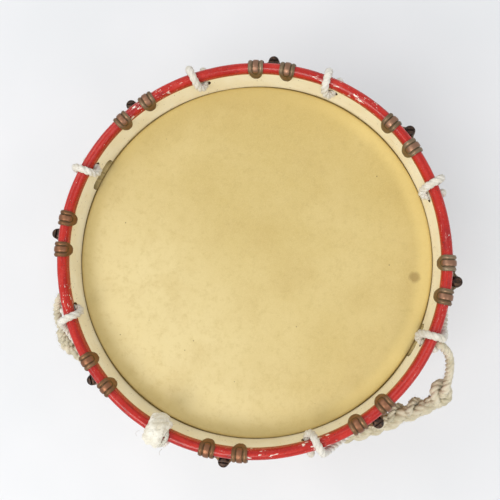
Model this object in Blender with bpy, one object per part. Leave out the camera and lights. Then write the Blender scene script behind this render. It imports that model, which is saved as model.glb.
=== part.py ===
"""Rope-dressed parade drum with tension screws: a 14 by 12 inch shell, two calfskin heads.

The drum stands on +Z, its axis is the Z axis, and z = 0 is the plane its eight bottom rope
loops are pressed flat on. Angles are in degrees anticlockwise from +X. A depth is measured
from the rim of a counterhoop towards the middle of the drum.
"""
import math

import bmesh
import bpy
from mathutils import Matrix, Vector

MM = 0.001

# Driving dimensions.
SHELL_RADIUS = 177.8 * MM
SHELL_WALL = 1.2 * MM
SHELL_HEIGHT = 299.0 * MM
HOOP_OUTER = 190.0 * MM
HOOP_WALL = 10.0 * MM
HOOP_HEIGHT = 40.0 * MM
SKIN = 0.7 * MM
HEAD_DEPTH = 38.5 * MM
ROPE_RADIUS = 3.7 * MM
ROPE_FLAT = 0.9 * MM
ROD_CIRCLE = 197.2 * MM
ROD_RADIUS = 2.6 * MM
GAP = 0.3 * MM

STATIONS = 8
STEP = 360.0 / STATIONS
ROD_ANGLE = -7.2
HOLE_ANGLE = 16.0
HOOK_OFFSET = 4.8
BOTTOM_TURN = 12.0
KNOT_STATION = 5
SLACK_STATIONS = (4, 6, 7)
SEGMENTS = 48

# Sizes that follow from them.
HOOP_INNER = HOOP_OUTER - HOOP_WALL
ROUND = HOOP_WALL / 2
ROUND_CENTRE = HOOP_OUTER - ROUND
LOOP_RADIUS = ROUND + ROPE_RADIUS + 2 * GAP
RIM_LOW = LOOP_RADIUS + ROPE_RADIUS - ROUND - ROPE_FLAT
RIM_HIGH = RIM_LOW + 2 * HEAD_DEPTH + 2 * (SKIN + GAP) + SHELL_HEIGHT
MIDDLE = (RIM_LOW + RIM_HIGH) / 2

# Shell and flesh hoop details.
VENT_ANGLE = 90.0
VENT_RADIUS = 5.0 * MM
FLESH_INNER = 181.0 * MM
FLESH_OUTER = 189.3 * MM
FLESH_HEIGHT = 11.0 * MM
FLESH_DEPTH = HOOP_HEIGHT + GAP

# Counterhoop details. The top holes were drilled by eye, each a little off its even place.
HOLE_SHIFTS = (2.1, 1.7, -1.9, -1.7, 0.0, -0.7, 1.6, 2.5)
HOLE_DEPTH = 13.5 * MM
HOLE_RADIUS = 4.8 * MM
GATE_ANGLES = (150.5, 333.3)
GATE_WIDTH = 34.0 * MM
GATE_HEIGHT = 11.0 * MM
GATE_CORNER = 5.0 * MM

# Double claw details.
HOOK_HALF = 7.3 * MM
HOOK_PLATE = 1.9 * MM
HOOK_ARM = 31.0 * MM
HOOK_EASE = 0.8 * MM
HOOK_TIP = 12.0 * MM
HOOK_LEAN = 1.4 * MM
HOOK_SLANT = 0.28
SHELF_TOP = 19.5 * MM
SHELF_PLATE = 6.5 * MM
BOSS_RADIUS = 5.8 * MM

# Tension screw details.
HEAD_RADIUS = 5.3 * MM
SLOT_TURNS = (-90.0, 49.0, 5.0, -33.0, 0.0, -23.0, 4.0, 0.0)
HEAD_HEIGHT = 5.7 * MM
NUT_RADIUS = 5.6 * MM
NUT_HEIGHT = 5.5 * MM

# Rope details.
KNOT_HALF_WIDTH = 10.2 * MM
KNOT_HALF_THICK = 6.2 * MM
CORD_RADIUS = 4.0 * MM
PLAIT_RADIUS = 10.0 * MM

# Where the rope is slack it bows out below the rim: (degrees back from the screw, radius in mm,
# depth in mm), on its way up to the loop.
SLACK_RUN = [(1.8, 188.0, 74.0), (4.2, 194.3, 57.0), (6.3, 194.6, 47.0), (8.4, 195.6, 36.0),
             (10.8, 195.8, 29.0), (13.2, 195.8, 22.0)]

# The drag rope's route: (angle, radius in mm, depth in mm). A lead leaves the right loop and
# ends in a knot; from the knot the plait hangs round to the lead that enters the left hole.
RIGHT_LEAD = [(-25.0, 195.4, 10.5), (-25.4, 201.4, 14.0), (-26.2, 208.0, 19.0), (-27.7, 214.0, 25.0),
              (-29.8, 219.8, 31.5), (-31.9, 224.6, 38.0)]
KNOT_CENTRE = (-35.3, 227.5, 47.5)
PLAIT = [(-38.1, 228.5, 51.0), (-41.6, 224.5, 57.0), (-46.5, 217.3, 65.0), (-51.8, 214.5, 73.5),
         (-57.0, 213.8, 87.0), (-62.5, 213.6, 105.5), (-69.0, 213.8, 125.5), (-77.0, 214.2, 143.5),
         (-86.5, 214.5, 158.0), (-97.0, 214.5, 167.0), (-107.0, 214.5, 169.0), (-117.0, 214.5, 163.5),
         (-126.0, 214.2, 150.5), (-134.2, 213.6, 131.0), (-141.4, 213.0, 109.0), (-147.2, 213.4, 90.5),
         (-151.4, 215.3, 75.5), (-154.7, 217.3, 62.5), (-157.5, 216.6, 51.5), (-159.3, 212.9, 42.5)]
LEFT_LEAD = [(-159.35, 211.4, 39.7), (-161.2, 209.8, 34.0), (-163.0, 207.2, 28.0), (-165.0, 203.4, 22.5),
             (-166.4, 200.2, 18.5)]


def clear_scene():
    for thing in list(bpy.data.objects):
        bpy.data.objects.remove(thing, do_unlink=True)


def make_material(name, colour, roughness, metallic=0.0):
    material = bpy.data.materials.new(name)
    material.use_nodes = True
    shader = material.node_tree.nodes["Principled BSDF"]
    shader.inputs["Base Color"].default_value = (*colour, 1.0)
    shader.inputs["Roughness"].default_value = roughness
    shader.inputs["Metallic"].default_value = metallic
    return material


def add_mesh(name, bm, material, smooth=True):
    bmesh.ops.recalc_face_normals(bm, faces=bm.faces[:])
    mesh = bpy.data.meshes.new(name)
    bm.to_mesh(mesh)
    bm.free()
    if smooth:
        mesh.shade_smooth()
        mesh.set_sharp_from_angle(angle=math.radians(35))
    mesh.materials.append(material)
    piece = bpy.data.objects.new(name, mesh)
    bpy.context.scene.collection.objects.link(piece)
    return piece


def add_cutter(name, bm):
    bmesh.ops.recalc_face_normals(bm, faces=bm.faces[:])
    mesh = bpy.data.meshes.new(name)
    bm.to_mesh(mesh)
    bm.free()
    cutter = bpy.data.objects.new(name, mesh)
    bpy.context.scene.collection.objects.link(cutter)
    cutter.hide_render = True
    cutter.display_type = "WIRE"
    return cutter


def add_boolean(piece, other, operation):
    modifier = piece.modifiers.new(operation.lower() + "_" + other.name, "BOOLEAN")
    modifier.operation = operation
    modifier.object = other


def polar(angle, radius, z):
    turn = math.radians(angle)
    return Vector((radius * math.cos(turn), radius * math.sin(turn), z))


def level(depth, top):
    """Height of a depth below the top rim, or of the same depth above the bottom rim."""
    return RIM_HIGH - depth if top else RIM_LOW + depth


def turned(profile, segments=SEGMENTS, closed=True):
    """Turn a profile of (radius, z) points about Z; an open one is capped by two flat faces."""
    bm = bmesh.new()
    verts = [bm.verts.new((radius, 0.0, z)) for radius, z in profile]
    edges = [bm.edges.new(pair) for pair in zip(verts, verts[1:])]
    if closed:
        edges.append(bm.edges.new((verts[-1], verts[0])))
    bmesh.ops.spin(bm, geom=verts + edges, cent=(0, 0, 0), axis=(0, 0, 1),
                   angle=math.tau, steps=segments, use_merge=True)
    bmesh.ops.remove_doubles(bm, verts=bm.verts[:], dist=1e-6)
    if not closed:
        rims = [edge for edge in bm.edges if edge.is_boundary]
        bmesh.ops.holes_fill(bm, edges=rims, sides=0)
    return bm


def hoop_profile(top):
    """Flat edge towards the head, full round along the rim."""
    arc = [math.pi * step / 4 for step in range(5)]
    rim = [(ROUND_CENTRE + ROUND * math.cos(a), level(ROUND - ROUND * math.sin(a), top)) for a in arc]
    base = level(HOOP_HEIGHT, top)
    return [(HOOP_OUTER, base)] + rim + [(HOOP_INNER, base)]


def radial_prism(bm, angle, z, outline, inner, outer):
    """Prism along the radius at an angle; the outline is (sideways, up) about the height z."""
    turn = Matrix.Translation((0, 0, z)) @ Matrix.Rotation(math.radians(angle), 4, "Z")
    ends = [[bm.verts.new(turn @ Vector((x, y, up))) for y, up in outline] for x in (inner, outer)]
    bridge_rings(bm, ends)


def circle_outline(radius, count):
    return [(radius * math.cos(math.tau * i / count), radius * math.sin(math.tau * i / count))
            for i in range(count)]


def gate_outline():
    """Snare gate: a wide slot whose two inner corners are round."""
    half = GATE_WIDTH / 2
    points = [(-half, -4 * MM), (half, -4 * MM)]
    for side, start in ((1, 0.0), (-1, math.pi / 2)):
        for step in range(4):
            a = start + math.pi / 2 * step / 3
            points.append((side * (half - GATE_CORNER) + GATE_CORNER * math.cos(a),
                           GATE_HEIGHT - GATE_CORNER + GATE_CORNER * math.sin(a)))
    return points


def hole_angle(station, top):
    shift = HOLE_SHIFTS[station % STATIONS] if top else -BOTTOM_TURN
    return HOLE_ANGLE + station * STEP + shift


def make_counterhoop(name, top, material):
    hoop = add_mesh(name, turned(hoop_profile(top)), material)
    inner = HOOP_INNER - 5 * MM
    outer = HOOP_OUTER + 5 * MM
    holes = bmesh.new()
    for station in range(STATIONS):
        radial_prism(holes, hole_angle(station, top), level(HOLE_DEPTH, top),
                     circle_outline(HOLE_RADIUS, 10), inner, outer)
    add_boolean(hoop, add_cutter(name + "_holes", holes), "DIFFERENCE")
    if top:
        gates = bmesh.new()
        for angle in GATE_ANGLES:
            radial_prism(gates, angle, level(HOOP_HEIGHT, top), gate_outline(), inner, outer)
        add_boolean(hoop, add_cutter(name + "_gates", gates), "DIFFERENCE")
    return hoop


def make_shell(material):
    """Sheet brass tube with its two edges eased, and an air vent at half height."""
    reach = SHELL_HEIGHT / 2
    ease = 1.1 * MM
    upper = [(SHELL_RADIUS, MIDDLE + reach - ease), (SHELL_RADIUS - 0.9 * MM, MIDDLE + reach),
             (SHELL_RADIUS - SHELL_WALL, MIDDLE + reach)]
    lower = [(radius, 2 * MIDDLE - z) for radius, z in reversed(upper)]
    shell = add_mesh("shell", turned(upper + lower), material)
    vent = bmesh.new()
    radial_prism(vent, VENT_ANGLE, MIDDLE, circle_outline(VENT_RADIUS, 16),
                 SHELL_RADIUS - 8 * MM, SHELL_RADIUS + 8 * MM)
    add_boolean(shell, add_cutter("shell_vent", vent), "DIFFERENCE")


def make_vent_eyelet(material):
    """Turned eyelet through the shell, its flange outside."""
    bore, barrel, flange = 3.2 * MM, VENT_RADIUS - GAP, 8.0 * MM
    inside, face, crown = -3.2 * MM, 1.2 * MM, 2.0 * MM
    profile = [(bore, inside), (barrel, inside), (barrel, face), (flange, face),
               (flange - 1.2 * MM, crown), (bore, crown)]
    bm = turned(profile, segments=16)
    place = (Matrix.Translation(polar(VENT_ANGLE, SHELL_RADIUS, MIDDLE))
             @ Matrix.Rotation(math.radians(VENT_ANGLE), 4, "Z") @ Matrix.Rotation(math.pi / 2, 4, "Y"))
    bmesh.ops.transform(bm, matrix=place, verts=bm.verts[:])
    add_mesh("air_vent_eyelet", bm, material)


def make_edge_ring(name, top, material):
    """Wooden reinforcing ring inside the shell's edge, under the skin."""
    outer = SHELL_RADIUS - SHELL_WALL - GAP
    inner = outer - 7.5 * MM
    near = level(HEAD_DEPTH + SKIN + GAP, top)
    far = level(HEAD_DEPTH + SKIN + GAP + 22 * MM, top)
    add_mesh(name, turned([(outer, near), (outer, far), (inner, far), (inner, near)]), material)


def make_flesh_hoop(name, top, material):
    near = level(FLESH_DEPTH, top)
    far = level(FLESH_DEPTH + FLESH_HEIGHT, top)
    add_mesh(name, turned([(FLESH_OUTER, near), (FLESH_OUTER, far), (FLESH_INNER, far),
                           (FLESH_INNER, near)]), material)


def make_head(name, top, material):
    """Skin: a flat disc that turns down over the shell's edge and laps under the flesh hoop."""
    collar = SHELL_RADIUS + GAP
    under = FLESH_DEPTH + FLESH_HEIGHT + GAP
    lap = FLESH_OUTER + GAP
    lip = FLESH_DEPTH + 3 * MM
    outside = [(collar - 1.0 * MM, HEAD_DEPTH), (collar + SKIN, HEAD_DEPTH + 1.6 * MM),
               (collar + SKIN, under), (lap, under), (lap, lip)]
    inside = [(lap + SKIN, lip), (lap + SKIN, under + SKIN), (collar, under + SKIN),
              (collar, HEAD_DEPTH + SKIN + 1.2 * MM), (collar - 1.1 * MM, HEAD_DEPTH + SKIN)]
    profile = [(radius, level(depth, top)) for radius, depth in outside + inside]
    add_mesh(name, turned(profile, closed=False), material)


def hook_half(radius, depth):
    """Half width at a point of the outer face: narrowing from the crest to a round tongue."""
    tip = HOOP_INNER - HOOK_EASE - HOOK_LEAN - HOOK_PLATE
    full = ROUND_CENTRE - tip + HOOK_SLANT * (HOOK_TIP + HOOK_EASE + HOOK_PLATE)
    part = (radius - tip + HOOK_SLANT * (HOOK_TIP - depth)) / full
    return HOOK_HALF * math.sqrt(1 - (1 - min(part, 1.0)) ** 2)


def hook_stations(top):
    """Mid-width path over the rim: (radius, z, outward radius, outward z, half width)."""
    reach = ROUND + HOOK_EASE
    sign = 1.0 if top else -1.0
    rows = [(HOOP_OUTER + HOOK_EASE, HOOK_ARM, 1.0, 0.0)]
    for step in range(7):
        a = math.pi * step / 6
        rows.append((ROUND_CENTRE + reach * math.cos(a), ROUND - reach * math.sin(a),
                     math.cos(a), math.sin(a)))
    for drop in (0.5, 0.8, 0.97):
        rows.append((HOOP_INNER - HOOK_EASE - HOOK_LEAN * drop * drop,
                     ROUND + drop * (HOOK_TIP - ROUND), -1.0, 0.0))
    path = []
    for radius, depth, out, up in rows:
        half = hook_half(radius + out * HOOK_PLATE, depth - up * HOOK_PLATE)
        path.append((radius, level(depth, top), out, sign * up, half))
    return path


def add_hook(bm, turn, top):
    rows = []
    for radius, z, out_r, out_z, half in hook_stations(top):
        corners = ((-half, 0.0), (-half, HOOK_PLATE), (half, HOOK_PLATE), (half, 0.0))
        rows.append([bm.verts.new(turn @ Vector((radius + out_r * rise, side, z + out_z * rise)))
                     for side, rise in corners])
    bridge_rings(bm, rows)


def shelf_outline():
    """Plan of the shelf that joins two hooks: wide at the hooks, round about the screw."""
    inner = HOOP_OUTER + 1.0 * MM
    wide = 20.5 * MM
    arm = inner + 3.2 * MM
    points = [(inner, wide), (inner, -wide), (arm, -wide)]
    for step in range(5):
        a = math.radians(-75 + 37.5 * step)
        points.append((ROD_CIRCLE + BOSS_RADIUS * math.cos(a), BOSS_RADIUS * math.sin(a)))
    points.append((arm, wide))
    return points


def add_prism(bm, turn, outline, low, high):
    bridge_rings(bm, [[bm.verts.new(turn @ Vector((x, y, z))) for x, y in outline] for z in (low, high)])


def make_double_claw(name, angle, top, material):
    """Two hooks over the rim, joined by a shelf with the screw's clearance hole."""
    turn = Matrix.Rotation(math.radians(angle), 4, "Z")
    shelf = bmesh.new()
    low, high = sorted((level(SHELF_TOP, top), level(SHELF_TOP + SHELF_PLATE, top)))
    add_prism(shelf, turn, shelf_outline(), low, high)
    claw = add_mesh(name, shelf, material)
    for side in (-1, 1):
        hook = bmesh.new()
        add_hook(hook, Matrix.Rotation(math.radians(angle + side * HOOK_OFFSET), 4, "Z"), top)
        add_boolean(claw, add_cutter(f"{name}_hook_{side}", hook), "UNION")
    bore = bmesh.new()
    outline = [(ROD_CIRCLE + x, y) for x, y in circle_outline(ROD_RADIUS + 0.5 * MM, 8)]
    add_prism(bore, turn, outline, low - 5 * MM, high + 5 * MM)
    add_boolean(claw, add_cutter(name + "_bore", bore), "DIFFERENCE")


def screw_profile():
    """Domed head on the top shelf, then the long shank, about the screw's own axis."""
    seat = level(SHELF_TOP, True) + GAP
    tip = level(SHELF_TOP, False) - NUT_HEIGHT - 3.0 * MM
    dome = [(0.62, 1.0), (0.9, 0.8), (1.0, 0.5), (1.0, 0.0)]
    head = [(HEAD_RADIUS * out, seat + HEAD_HEIGHT * up) for out, up in dome]
    return head + [(ROD_RADIUS, seat), (ROD_RADIUS, tip)]


def make_tension_screw(name, angle, slot_turn, material):
    place = polar(angle, ROD_CIRCLE, 0.0)
    screw = add_mesh(name, turned(screw_profile(), segments=12, closed=False), material)
    screw.location = place
    slot = bmesh.new()
    seat = level(SHELF_TOP, True) + GAP
    turn = Matrix.Translation(place) @ Matrix.Rotation(math.radians(angle + slot_turn), 4, "Z")
    reach = HEAD_RADIUS + 1 * MM
    outline = [(-0.9 * MM, -reach), (0.9 * MM, -reach), (0.9 * MM, reach), (-0.9 * MM, reach)]
    add_prism(slot, turn, outline, seat + HEAD_HEIGHT - 2.2 * MM, seat + HEAD_HEIGHT + 1 * MM)
    add_boolean(screw, add_cutter(name + "_slot", slot), "DIFFERENCE")


def make_tension_nut(name, angle, material):
    """Square nut under the bottom shelf; the shank runs through it."""
    high = level(SHELF_TOP, False) - GAP
    low = high - NUT_HEIGHT
    bm = bmesh.new()
    turn = Matrix.Translation(polar(angle, ROD_CIRCLE, 0.0))
    turn = turn @ Matrix.Rotation(math.radians(angle + 45), 4, "Z")
    bore = circle_outline(ROD_RADIUS + 0.5 * MM, 8)
    add_prism(bm, turn, circle_outline(NUT_RADIUS, 4), low, high)
    nut = add_mesh(name, bm, material, smooth=False)
    cut = bmesh.new()
    add_prism(cut, turn, bore, low - 2 * MM, high + 2 * MM)
    add_boolean(nut, add_cutter(name + "_bore", cut), "DIFFERENCE")


def rise_rows(station, top):
    """The run that comes up to a loop, straight or, where the rope is slack, bowed outwards."""
    hole = hole_angle(station, top)
    outside = HOOP_OUTER + ROPE_RADIUS + 3 * GAP
    if not top or station % STATIONS not in SLACK_STATIONS:
        return [(hole + 3.4, outside, 44 * MM), (hole + 3.5, outside, 24 * MM)]
    screw = ROD_ANGLE + (station + 1) * STEP
    bow = [(screw - back, radius * MM, depth * MM) for back, radius, depth in SLACK_RUN]
    return bow + [(hole + 4.6, outside + 1.6 * MM, 13.5 * MM)]


def over_rows(station, top):
    """Over the rim, from the outside to the inside."""
    hole = hole_angle(station, top)
    rows = []
    for step in range(5):
        a = math.pi * step / 4
        rows.append((hole + 3.5 - 0.3 * step, ROUND_CENTRE + LOOP_RADIUS * math.cos(a),
                     ROUND - LOOP_RADIUS * math.sin(a)))
    return rows + [(hole + 1.7, HOOP_INNER - 5.2 * MM, 9.0 * MM),
                   (hole + 0.9, HOOP_INNER - 4.4 * MM, 12.0 * MM)]


def through_rows(station, top):
    """Out through the hole and away along the shell."""
    hole = hole_angle(station, top)
    outside = HOOP_OUTER + ROPE_RADIUS + 3 * GAP
    return [(hole + 0.25, HOOP_INNER - 1.6 * MM, HOLE_DEPTH), (hole, HOOP_INNER + 3 * MM, HOLE_DEPTH),
            (hole - 0.1, HOOP_OUTER + 2.6 * MM, HOLE_DEPTH + 0.8 * MM),
            (hole - 0.2, outside + 0.3 * MM, HOLE_DEPTH + 5.5 * MM), (hole - 0.3, outside, 44 * MM)]


def row_points(rows, top):
    return [polar(angle, radius, level(depth, top)) for angle, radius, depth in rows]


def tension_rope_route():
    """From the end knot all the way round, down and up at each station, and back to it."""
    route = row_points(through_rows(KNOT_STATION, True), True)
    for step in range(STATIONS):
        for station, top in ((KNOT_STATION - step, False), (KNOT_STATION - step - 1, True)):
            if step < STATIONS - 1 or not top:
                rows = rise_rows(station, top) + over_rows(station, top) + through_rows(station, top)
                route += row_points(rows, top)
    end = hole_angle(KNOT_STATION, True) + 5.2
    radius = HOOP_OUTER + ROPE_RADIUS + 7 * GAP
    return route + row_points([(end, radius, 44 * MM), (end, radius, 10 * MM)], True)


def bridge_rings(bm, rings):
    """Join a run of like rings of vertices into a closed tube."""
    count = len(rings[0])
    for near, far in zip(rings, rings[1:]):
        for k in range(count):
            j = (k + 1) % count
            bm.faces.new((near[k], near[j], far[j], far[k]))
    bm.faces.new(rings[0][::-1])
    bm.faces.new(rings[-1])


def swept(points, radius, sides):
    """Closed tube about a run of points, its rings carried along without twist."""
    bm = bmesh.new()
    rings = []
    across = None
    for i, point in enumerate(points):
        before = points[max(i - 1, 0)]
        after = points[min(i + 1, len(points) - 1)]
        along = (after - before).normalized()
        if across is None:
            across = along.orthogonal().normalized()
        across = (across - along * across.dot(along)).normalized()
        third = along.cross(across)
        ring = []
        for k in range(sides):
            a = math.tau * k / sides
            ring.append(bm.verts.new(point + radius * (math.cos(a) * across + math.sin(a) * third)))
        rings.append(ring)
    bridge_rings(bm, rings)
    return bm


def make_tension_rope(material):
    """The laced rope, its bottom loops pressed flat where the drum stands."""
    rope = add_mesh("tension_rope", swept(tension_rope_route(), ROPE_RADIUS, 6), material)
    floor = bmesh.new()
    bmesh.ops.create_cube(floor, size=1.0)
    bmesh.ops.translate(floor, vec=(0, 0, -0.5), verts=floor.verts[:])
    add_boolean(rope, add_cutter("floor_press", floor), "DIFFERENCE")


def make_end_knot(material):
    """The rope's two ends bound in a thick flattened wrapping over the rim."""
    centre = hole_angle(KNOT_STATION, True) + 2.0
    reach = ROUND + KNOT_HALF_THICK + 2 * GAP
    side = polar(centre + 90, 1.0, 0.0)
    bm = bmesh.new()
    rings = []
    for step in range(8):
        a = math.pi * (-0.03 + 1.05 * step / 7)
        out = polar(centre, math.cos(a), math.sin(a))
        middle = polar(centre, ROUND_CENTRE, level(ROUND, True)) + reach * out
        taper = 0.8 if step in (0, 7) else 1.0
        ring = []
        for across, rise in circle_outline(taper, 10):
            offset = KNOT_HALF_WIDTH * across * side + KNOT_HALF_THICK * rise * out
            ring.append(bm.verts.new(middle + offset))
        rings.append(ring)
    bridge_rings(bm, rings)
    add_mesh("rope_end_knot", bm, material)


def smooth_points(route, count):
    """Even points on a smooth curve through the route's own points."""
    ends = [2 * route[0] - route[1]] + route + [2 * route[-1] - route[-2]]
    fine = []
    for i in range(1, len(ends) - 2):
        a, b, c, d = ends[i - 1:i + 3]
        for step in range(24):
            t = step / 24
            fine.append(0.5 * (2 * b + (c - a) * t + (2 * a - 5 * b + 4 * c - d) * t * t
                               + (3 * b - a - 3 * c + d) * t ** 3))
    fine.append(route[-1])
    run = [0.0]
    for near, far in zip(fine, fine[1:]):
        run.append(run[-1] + (far - near).length)
    even = []
    for k in range(count):
        goal = run[-1] * k / (count - 1)
        i = max(j for j in range(len(fine) - 1) if run[j] <= goal + 1e-9)
        part = (goal - run[i]) / (run[i + 1] - run[i])
        even.append(fine[i].lerp(fine[i + 1], min(part, 1.0)))
    return even


def route_points(rows):
    """Route rows are (angle, radius in mm, depth in mm below the top rim)."""
    return [polar(angle, radius * MM, level(depth * MM, True)) for angle, radius, depth in rows]


def make_cord(name, points, radius, material):
    curve = bpy.data.curves.new(name, "CURVE")
    curve.dimensions = "3D"
    curve.bevel_depth = radius
    curve.bevel_resolution = 2
    curve.use_fill_caps = True
    spline = curve.splines.new("POLY")
    spline.points.add(len(points) - 1)
    for slot, point in zip(spline.points, points):
        slot.co = (*point, 1.0)
    curve.materials.append(material)
    cord = bpy.data.objects.new(name, curve)
    bpy.context.scene.collection.objects.link(cord)


def make_drag_rope(material):
    make_cord("drag_rope_right_lead", smooth_points(route_points(RIGHT_LEAD), 8), CORD_RADIUS, material)
    make_cord("drag_rope_plait", smooth_points(route_points(PLAIT), 40), PLAIT_RADIUS, material)
    make_cord("drag_rope_left_lead", smooth_points(route_points(LEFT_LEAD), 5), CORD_RADIUS, material)
    ball = bmesh.new()
    bmesh.ops.create_icosphere(ball, subdivisions=2, radius=9.6 * MM)
    bmesh.ops.translate(ball, vec=route_points([KNOT_CENTRE])[0], verts=ball.verts[:])
    add_mesh("drag_rope_knot", ball, material)


def make_drum():
    red = make_material("red_and_cream_paint", (0.60, 0.045, 0.035), 0.35)
    skin = make_material("calfskin", (0.68, 0.54, 0.25), 0.5)
    lapped = make_material("lapped_ash", (0.42, 0.34, 0.16), 0.6)
    brass = make_material("shell_brass", (0.72, 0.52, 0.24), 0.3, 1.0)
    wood = make_material("ring_wood", (0.40, 0.24, 0.12), 0.6)
    copper = make_material("claw_bronze", (0.32, 0.19, 0.12), 0.38, 1.0)
    steel = make_material("screw_steel", (0.06, 0.045, 0.035), 0.4, 1.0)
    cotton = make_material("cotton_rope", (0.78, 0.74, 0.62), 0.9)
    make_shell(brass)
    make_vent_eyelet(brass)
    for side, top in (("top", True), ("bottom", False)):
        make_edge_ring(side + "_edge_ring", top, wood)
        make_flesh_hoop(side + "_flesh_hoop", top, lapped)
        make_head(side + "_head", top, skin)
        make_counterhoop(side + "_counterhoop", top, red)
        for station in range(STATIONS):
            angle = ROD_ANGLE + station * STEP
            make_double_claw(f"{side}_double_claw_{station + 1}", angle, top, copper)
    for station in range(STATIONS):
        angle = ROD_ANGLE + station * STEP
        make_tension_screw(f"tension_screw_{station + 1}", angle, SLOT_TURNS[station], steel)
        make_tension_nut(f"tension_nut_{station + 1}", angle, steel)
    make_tension_rope(cotton)
    make_end_knot(cotton)
    make_drag_rope(cotton)


clear_scene()
make_drum()
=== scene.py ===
"""Looks of the rope-dressed parade drum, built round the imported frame.

Angles are in degrees anticlockwise from +X. A depth is measured from a rim of the drum
towards its middle. Lengths named here are in metres; route rows are in millimetres.
"""
import random
from math import atan2, cos, degrees, hypot, pi, radians, sin, sqrt, tau

import bmesh
import bpy
from mathutils import Matrix, Vector, noise


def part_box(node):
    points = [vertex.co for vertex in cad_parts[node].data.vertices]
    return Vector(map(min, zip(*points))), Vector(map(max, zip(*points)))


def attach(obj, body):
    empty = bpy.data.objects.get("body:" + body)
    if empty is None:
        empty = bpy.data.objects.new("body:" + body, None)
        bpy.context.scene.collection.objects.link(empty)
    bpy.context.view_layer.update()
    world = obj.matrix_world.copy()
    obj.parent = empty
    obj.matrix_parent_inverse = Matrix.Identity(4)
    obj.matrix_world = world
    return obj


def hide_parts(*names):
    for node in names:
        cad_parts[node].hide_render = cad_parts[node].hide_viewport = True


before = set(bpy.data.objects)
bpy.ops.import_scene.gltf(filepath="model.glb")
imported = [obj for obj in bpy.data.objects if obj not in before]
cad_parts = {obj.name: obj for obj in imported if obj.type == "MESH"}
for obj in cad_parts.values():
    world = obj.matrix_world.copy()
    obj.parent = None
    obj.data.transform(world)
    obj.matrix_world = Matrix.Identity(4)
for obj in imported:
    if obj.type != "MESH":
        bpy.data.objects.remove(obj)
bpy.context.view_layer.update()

MM = 0.001
RIM_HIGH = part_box("top_counterhoop")[1].z
RIM_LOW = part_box("bottom_counterhoop")[0].z
MIDDLE = (RIM_LOW + RIM_HIGH) / 2

# The CAD's sizes. Rods, holes, hooks and gates stand at angles; shifts and offsets are degrees too.
SHELL_RADIUS = 177.8 * MM
SHELL_WALL = 1.2 * MM
SHELL_HEIGHT = 299.0 * MM
HOOP_OUTER = 190.0 * MM
HOOP_INNER = 180.0 * MM
HOOP_HEIGHT = 40.0 * MM
ROUND = 5.0 * MM
ROUND_CENTRE = 185.0 * MM
SKIN = 0.7 * MM
HEAD_DEPTH = 38.5 * MM
ROPE_RADIUS = 3.7 * MM
ROD_CIRCLE = 197.2 * MM
ROD_RADIUS = 2.6 * MM
BORE_GAP = 0.5 * MM
GAP = 0.3 * MM
LOOP_RADIUS = ROUND + ROPE_RADIUS + 2 * GAP
ROPE_DROP = 44.0 * MM
FIBRE_RADIUS = 0.07 * MM
STATIONS = 8
STEP = 45.0
ROD_ANGLE = -7.2
HOLE_ANGLE = 16.0
HOLE_SHIFTS = (2.1, 1.7, -1.9, -1.7, 0.0, -0.7, 1.6, 2.5)
HOLE_DEPTH = 13.5 * MM
HOLE_RADIUS = 4.8 * MM
ROPE_FACE = HOOP_OUTER + ROPE_RADIUS + 3 * GAP
HOOK_OFFSET = 4.8
HOOK_HALF = 7.3 * MM
HOOK_EASE = 0.8 * MM
HOOK_PLATE = 1.9 * MM
HOOK_TIP = 12.0 * MM
HOOK_LEAN = 1.4 * MM
HOOK_SLANT = 0.28
BOTTOM_TURN = 12.0
KNOT_STATION = 5
SLACK_STATIONS = (4, 6, 7)
SHELF_TOP = 19.5 * MM
SHELF_PLATE = 6.5 * MM
BOSS_RADIUS = 5.8 * MM
HEAD_RADIUS = 5.3 * MM
SLOT_TURNS = (-90.0, 49.0, 5.0, -33.0, 0.0, -23.0, 4.0, 0.0)
HEAD_HEIGHT = 5.7 * MM
THREAD_LENGTH = 30.0 * MM
THREAD_PITCH = 1.0 * MM
THREAD_DEPTH = 0.45 * MM
NUT_RADIUS = 5.6 * MM
NUT_HEIGHT = 5.5 * MM
GATE_ANGLES = (150.5, 333.3)
GATE_WIDTH = 34.0 * MM
GATE_HEIGHT = 11.0 * MM
GATE_CORNER = 5.0 * MM
VENT_ANGLE = 90.0
SEAM_ANGLE = 114.0
VENT_RADIUS = 5.0 * MM
FLESH_INNER = 181.0 * MM
FLESH_OUTER = 189.3 * MM
FLESH_HEIGHT = 11.0 * MM
FLESH_DEPTH = HOOP_HEIGHT + GAP

# Rope routes, rows of (angle, radius in mm, depth in mm below the top rim).
SLACK_RUN = [(1.8, 188.0, 74.0), (4.2, 194.3, 57.0), (6.3, 194.6, 47.0), (8.4, 195.6, 36.0),
             (10.8, 195.8, 29.0), (13.2, 195.8, 22.0)]
RIGHT_LEAD = [(-25.0, 195.4, 10.5), (-25.4, 201.4, 14.0), (-26.2, 208.0, 19.0), (-27.7, 214.0, 25.0),
              (-29.8, 219.8, 31.5), (-31.9, 224.6, 38.0)]
KNOT_CENTRE = (-35.3, 227.5, 47.5)
PLAIT = [(-38.1, 228.5, 51.0), (-41.6, 224.5, 57.0), (-46.5, 217.3, 65.0), (-51.8, 214.5, 73.5),
         (-57.0, 213.8, 87.0), (-62.5, 213.6, 105.5), (-69.0, 213.8, 125.5), (-77.0, 214.2, 143.5),
         (-86.5, 214.5, 158.0), (-97.0, 214.5, 167.0), (-107.0, 214.5, 169.0), (-117.0, 214.5, 163.5),
         (-126.0, 214.2, 150.5), (-134.2, 213.6, 131.0), (-141.4, 213.0, 109.0), (-147.2, 213.4, 90.5),
         (-151.4, 215.3, 75.5), (-154.7, 217.3, 62.5), (-157.5, 216.6, 51.5), (-159.3, 212.9, 42.5)]
LEFT_LEAD = [(-159.35, 211.4, 39.7), (-161.2, 209.8, 34.0), (-163.0, 207.2, 28.0), (-165.0, 203.4, 22.5),
             (-166.4, 200.2, 18.5)]


# ---------------------------------------------------------------- places and routes

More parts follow.
